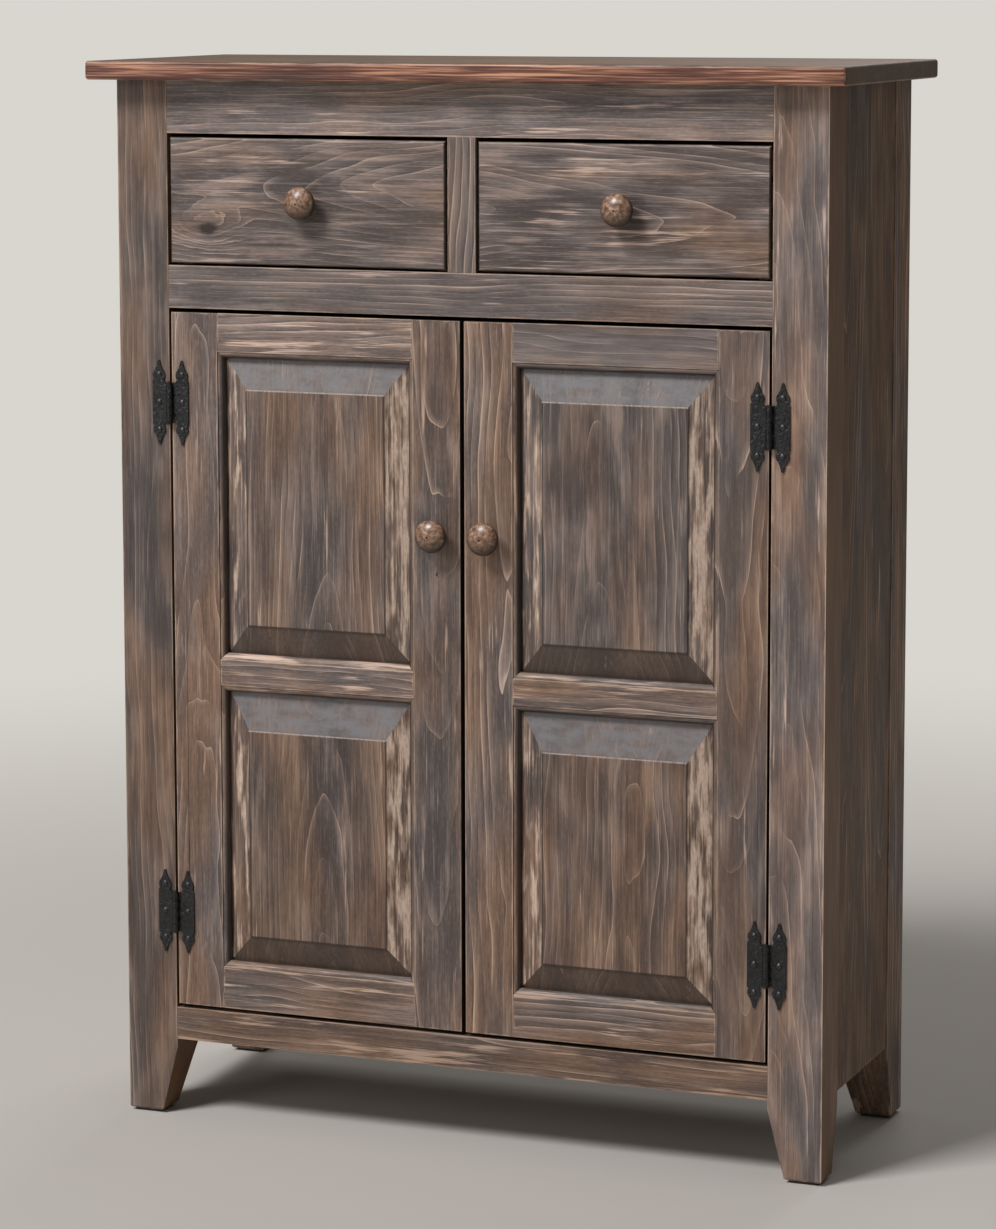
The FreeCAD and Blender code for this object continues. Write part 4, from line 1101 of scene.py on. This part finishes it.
@dataclass
class Door:
    """One framed door with two raised panels."""

    side: Side
    cuts: dict[str, Cut]
    finish: StainedPine = StainedPine(dark_edges=True)
    panel_finish: RaisedPine = RaisedPine()
    eased_mm: float = 0.6
    moulding_mm: float = 7.0
    cope_mm: float = 1.0

    def flat_box(self, part: str) -> Box:
        """Find the box of what shows of a member: its flat face, or the panel between the mouldings.

        Args:
            part: The member's name within the door.

        Returns:
            The box's lowest and highest corner.
        """
        low, high = [Vector(corner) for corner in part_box(f"{self.side.value}_door_{part}")]
        moulding, cope = self.moulding_mm, self.cope_mm
        trims = {
            "upper_panel": ((moulding, 0, moulding), (moulding, 0, moulding)),
            "lower_panel": ((moulding, 0, moulding), (moulding, 0, moulding)),
            "top_rail": ((cope, 0, moulding), (cope, 0, 0)),
            "mid_rail": ((cope, 0, moulding), (cope, 0, moulding)),
            "bottom_rail": ((cope, 0, 0), (cope, 0, moulding)),
            "hinge_stile": ((0, 0, 0), (moulding, 0, 0)),
            "lock_stile": ((moulding, 0, 0), (0, 0, 0)),
        }
        below, above = [Vector(trim) * MM for trim in trims[part]]
        if self.side is Side.RIGHT and part.endswith("stile"):
            below, above = above, below
        return low + below, high - above

    @staticmethod
    def raised_box(name: str) -> Box:
        """Find the box of a raised panel's field, the part of it that stands foremost.

        Args:
            name: The panel's node.

        Returns:
            The box's lowest and highest corner.
        """
        corners = [vertex.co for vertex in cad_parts[name].data.vertices]
        front = min(corner.y for corner in corners)
        face = [corner for corner in corners if corner.y < front + 0.1 * MM]
        return Vector(map(min, zip(*face))), Vector(map(max, zip(*face)))

    def dress(self) -> None:
        """Give each member of the door its own cut of the stained pine."""
        for part, cut in self.cuts.items():
            name = f"{self.side.value}_door_{part}"
            finish, eased_mm = self.finish, self.eased_mm
            if part.endswith("panel"):
                finish, eased_mm = replace(self.panel_finish, raised_box=self.raised_box(name)), 0.0
            dress(name, finish.build(name, self.flat_box(part), cut), eased_mm)


@dataclass
class Drawer:
    """One dovetailed drawer behind a stained front."""

    side: Side
    front: Cut
    finish: StainedPine = StainedPine(dark_edges=True)
    plain_finish: PlainPine = PlainPine()
    front_eased_mm: float = 0.5
    box_eased_mm: float = 0.3
    box: dict[str, Cut] = field(default_factory=lambda: {
        "left_side": Cut(Grain.RUNNER, 40.0, ring_mm=6.0),
        "right_side": Cut(Grain.RUNNER, -40.0, ring_mm=6.0),
        "back": Cut(Grain.LEVEL, 40.0, ring_mm=6.0),
        "bottom": Cut(Grain.DRAWER_FLOOR, 0.0, ring_mm=9.0, tone=1.08, strips=3),
    })

    def dress(self) -> None:
        """Give the front its stain and the drawer's box its clear lacquer."""
        name = f"{self.side.value}_drawer_front"
        dress(name, self.finish.build(name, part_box(name), self.front), self.front_eased_mm)
        for part, cut in self.box.items():
            name = f"{self.side.value}_drawer_{part}"
            dress(name, self.plain_finish.build(name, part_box(name), cut), self.box_eased_mm)


@dataclass
class Hardware:
    """Knobs, hinges, screws, catches, shelf pins and glides, by their finishes."""

    pieces: dict[TurnedKnob | Coated, tuple[str, ...]] = field(default_factory=lambda: {
        TurnedKnob(): ("left_door_knob", "right_door_knob", "left_drawer_knob", "right_drawer_knob"),
        # Forged iron under matt black lacquer: soft hammer dents, a dull shine, and painted shade on its
        # knuckles and edges
        Coated("black_lacquered_iron", "#1f1f22", "#0b0b0d", 0.32, 4.0, 1.6, turned="#020202"):
            ("frame_hinge_leaves", "left_door_hinge_leaves", "right_door_hinge_leaves"),
        # The same iron, pressed smooth and rubbed grey on the crowns of screws and the ends of pins;
        # painted shade darkens their sides
        Coated("black_lacquered_pressed_iron", "#47474b", "#2a2a2d", 0.40, 2.5, 0.12, turned="#030303"):
            ("frame_hinge_screws", "hinge_pins", "left_door_fixings", "right_door_fixings"),
        # Bright zinc plating on steel, slightly clouded
        Coated("zinc_plated_steel", "#b9b8b4", "#9c9b98", 0.34, 1.5, 0.02, metallic=1.0):
            ("top_screws", "left_drawer_knob_screw", "right_drawer_knob_screw", "shelf_pins"),
        # Moulded nylon, brown to match the case, with a spark-eroded grain
        Coated("brown_moulded_nylon", "#5a4233", "#4e392c", 0.50, 0.6, 0.03): ("door_catches",),
        # Moulded polyethylene, scuffed
        Coated("black_moulded_polyethylene", "#1c1c1d", "#262627", 0.55, 0.8, 0.03): ("foot_glides",),
    })

    def dress(self) -> None:
        """Give each piece of hardware its finish."""
        for finish, names in self.pieces.items():
            material = finish.build()
            for name in names:
                dress(name, material)


# ---------------------------------------------------------------- studio
@dataclass
class Studio:
    """A plain pale floor that runs into a pale sky, soft lamps and the camera."""

    floor_colour: str = "#cbc6c0"
    sky_colour: str = "#d9d5cf"
    floor_size: float = 40.0
    fade_start: float = 0.8
    fade_end: float = 3.2
    sky_strength: float = 0.22
    gloss_strength: float = 0.28
    # The name, place, power in watts and side of each lamp
    lamps: tuple[tuple[str, tuple[float, float, float], float, float], ...] = (
        ("key_lamp", (-2.2, -3.9, 5.8), 350.0, 2.0),
        ("window_lamp", (-2.9, -4.6, 2.2), 34.0, 2.2),
        ("back_lamp", (0.2, 3.2, 3.7), 40.0, 2.0),
    )
    target: tuple[float, float, float] = (0.0, 0.0, 0.62)
    camera_place: tuple[float, float, float] = (1.651, -4.2430, 1.321)
    # Yaw, pitch and roll in degrees
    camera_turn: tuple[float, float, float] = (21.47, 7.07, -0.11)
    camera_lens_mm: float = 117.67
    camera_sensor_mm: float = 36.0
    camera_shift: float = -0.12

    def dress(self) -> None:
        """Build the floor, the sky, the lamps and the camera."""
        self.floor()
        self.sky()
        for name, place, power, size in self.lamps:
            self.lamp(name, Vector(place), power, size)
        self.camera()
        bpy.context.scene.view_settings.view_transform = "Standard"

    def floor(self) -> None:
        """Lay the floor, a sheet of matt paper that fades into the sky a few metres away."""
        half = self.floor_size / 2
        mesh = bpy.data.meshes.new("studio_floor")
        mesh.from_pydata([(-half, -half, 0), (half, -half, 0), (half, half, 0), (-half, half, 0)], [],
                         [(0, 1, 2, 3)])
        floor = bpy.data.objects.new("studio_floor", mesh)
        bpy.context.scene.collection.objects.link(floor)
        material, tree = new_material("matt_paper")
        paper = {"Base Color": linear(self.floor_colour), "Roughness": 0.95}
        paper = add_node(tree, "BsdfPrincipled", paper)
        glow = add_node(tree, "Emission", (linear(self.sky_colour),))
        place = add_node(tree, "TexCoord", out="Object")
        distance = add_node(tree, "VectorMath.LENGTH", (place,), "Value")
        far = add_node(tree, "MapRange", (distance, self.fade_start, self.fade_end),
                       interpolation_type="SMOOTHSTEP")
        seen = add_node(tree, "LightPath", out="Is Camera Ray")
        far = add_node(tree, "Math.MULTIPLY", (far, seen))
        shader = add_node(tree, "MixShader", (far, paper, glow))
        add_node(tree, "OutputMaterial", (shader,))
        mesh.materials.append(material)

    def sky(self) -> None:
        """Set an even sky, bright to the eye, softer in gloss and low as a lamp."""
        world = bpy.data.worlds.new("studio_sky")
        world.use_nodes = True
        tree = world.node_tree
        tree.nodes.clear()
        rays = {name: add_node(tree, "LightPath", out=f"Is {name} Ray")
                for name in ("Camera", "Glossy", "Transmission")}
        seen = add_node(tree, "Math.MAXIMUM", (rays["Camera"], rays["Transmission"]))
        strength = add_node(tree, "MapRange", (rays["Glossy"], 0.0, 1.0, self.sky_strength,
                                               self.gloss_strength))
        strength = add_node(tree, "Math.MAXIMUM", (strength, seen))
        sky = add_node(tree, "Background", (linear(self.sky_colour), strength))
        add_node(tree, "OutputWorld", (sky,))
        bpy.context.scene.world = world

    def lamp(self, name: str, place: Vector, power: float, size: float) -> None:
        """Hang one square soft lamp that faces the cupboard.

        Args:
            name: The lamp's name.
            place: Where it hangs.
            power: Its power in watts.
            size: The length of its side.
        """
        data = bpy.data.lights.new(name, "AREA")
        data.energy = power
        data.size = size
        lamp = bpy.data.objects.new(name, data)
        lamp.location = place
        lamp.rotation_euler = (Vector(self.target) - place).to_track_quat("-Z", "Y").to_euler()
        bpy.context.scene.collection.objects.link(lamp)

    def camera(self) -> None:
        """Place the camera, a long lens in front and to the right."""
        yaw, pitch, roll = [math.radians(angle) for angle in self.camera_turn]
        level = Vector((math.cos(yaw), math.sin(yaw), 0.0))
        ahead = Vector((-math.sin(yaw), math.cos(yaw), 0.0))
        forward = ahead * math.cos(pitch) - Vector((0.0, 0.0, math.sin(pitch)))
        up = level.cross(forward)
        right = level * math.cos(roll) + up * math.sin(roll)
        top = up * math.cos(roll) - level * math.sin(roll)
        turn = Matrix((right, top, -forward)).transposed()
        data = bpy.data.cameras.new("camera")
        data.sensor_width = self.camera_sensor_mm
        data.lens = self.camera_lens_mm
        data.shift_y = self.camera_shift
        camera = bpy.data.objects.new("camera", data)
        camera.matrix_world = Matrix.Translation(self.camera_place) @ turn.to_4x4()
        bpy.context.scene.collection.objects.link(camera)
        bpy.context.scene.camera = camera


# ---------------------------------------------------------------- the boards of the doors and drawers
LEFT_DOOR = {
    "hinge_stile": Cut(Grain.UPRIGHT, 6.0, 55.0, -0.030, 5.5, 0.64, 1.26, 0.25),
    "lock_stile": Cut(Grain.UPRIGHT, 4.0, 50.0, 0.040, 5.5, 0.43, 1.10, 0.25,
                      knots=(Knot(0.0, 118.0, 3.5, 1.5),), blots=1.5),
    "top_rail": Cut(Grain.LEVEL, -40.0, 40.0, 0.020, 6.0, 0.72, 1.60, 0.50),
    "mid_rail": Cut(Grain.LEVEL, 40.0, 40.0, 0.020, 6.0, 0.84, 1.50, 0.45),
    "bottom_rail": Cut(Grain.LEVEL, 40.0, 50.0, 0.020, 6.0, 0.58, 1.33, 0.40, blots=1.4),
    "upper_panel": Cut(Grain.UPRIGHT, 12.0, 42.0, -0.050, 5.0, 0.45, 1.01, 0.10, blots=1.4, fibres=0.95),
    "lower_panel": Cut(Grain.UPRIGHT, 10.0, 50.0, -0.040, 5.0, 0.82, 0.96, 0.10, blots=1.5, lines=0.8,
                       fibres=0.85),
}
RIGHT_DOOR = {
    "hinge_stile": Cut(Grain.UPRIGHT, -8.0, 50.0, 0.050, 6.0, 0.47, 1.12, 0.25, blots=1.2, lines=0.8,
                       fibres=0.62),
    "lock_stile": Cut(Grain.UPRIGHT, 30.0, 50.0, 0.012, 5.5, 0.59, 1.20, 0.30),
    "top_rail": Cut(Grain.LEVEL, 40.0, 40.0, 0.020, 6.0, 0.06, 1.24, 0.15, lines=0.8, fibres=0.5),
    "mid_rail": Cut(Grain.LEVEL, -40.0, 40.0, 0.020, 6.0, 0.58, 1.24, 0.45),
    "bottom_rail": Cut(Grain.LEVEL, -40.0, 50.0, 0.020, 6.0, 0.58, 1.15, 0.40),
    "upper_panel": Cut(Grain.UPRIGHT, -12.0, 60.0, -0.030, 6.5, 0.27, 1.08, 0.05, blots=1.9, lines=0.6,
                       fibres=0.5),
    "lower_panel": Cut(Grain.UPRIGHT, 20.0, 60.0, -0.030, 5.5, 0.73, 1.10, 0.15, blots=1.6, lines=0.7,
                       fibres=0.65),
}
LEFT_FRONT = Cut(Grain.LEVEL, 18.0, 46.0, 0.075, 4.5, 0.28, 1.17, 0.34,
                 knots=(Knot(-30.0, -118.0, 14.0, 3.0),), blots=1.8, lines=0.65, fibres=0.9)
RIGHT_FRONT = Cut(Grain.LEVEL, -4.0, 50.0, -0.070, 4.5, 0.27, 1.25, 0.38, blots=2.0, lines=0.62,
                  fibres=0.68)


def main() -> None:
    """Build the studio and dress each assembly in order."""
    logging.basicConfig(level=logging.INFO, format="%(message)s")
    for assembly in (Studio(), CaseWork(), Door(Side.LEFT, LEFT_DOOR), Door(Side.RIGHT, RIGHT_DOOR),
                     Drawer(Side.LEFT, LEFT_FRONT), Drawer(Side.RIGHT, RIGHT_FRONT), Hardware()):
        log.info("%s", type(assembly).__name__)
        assembly.dress()


if __name__ == "__main__":
    main()
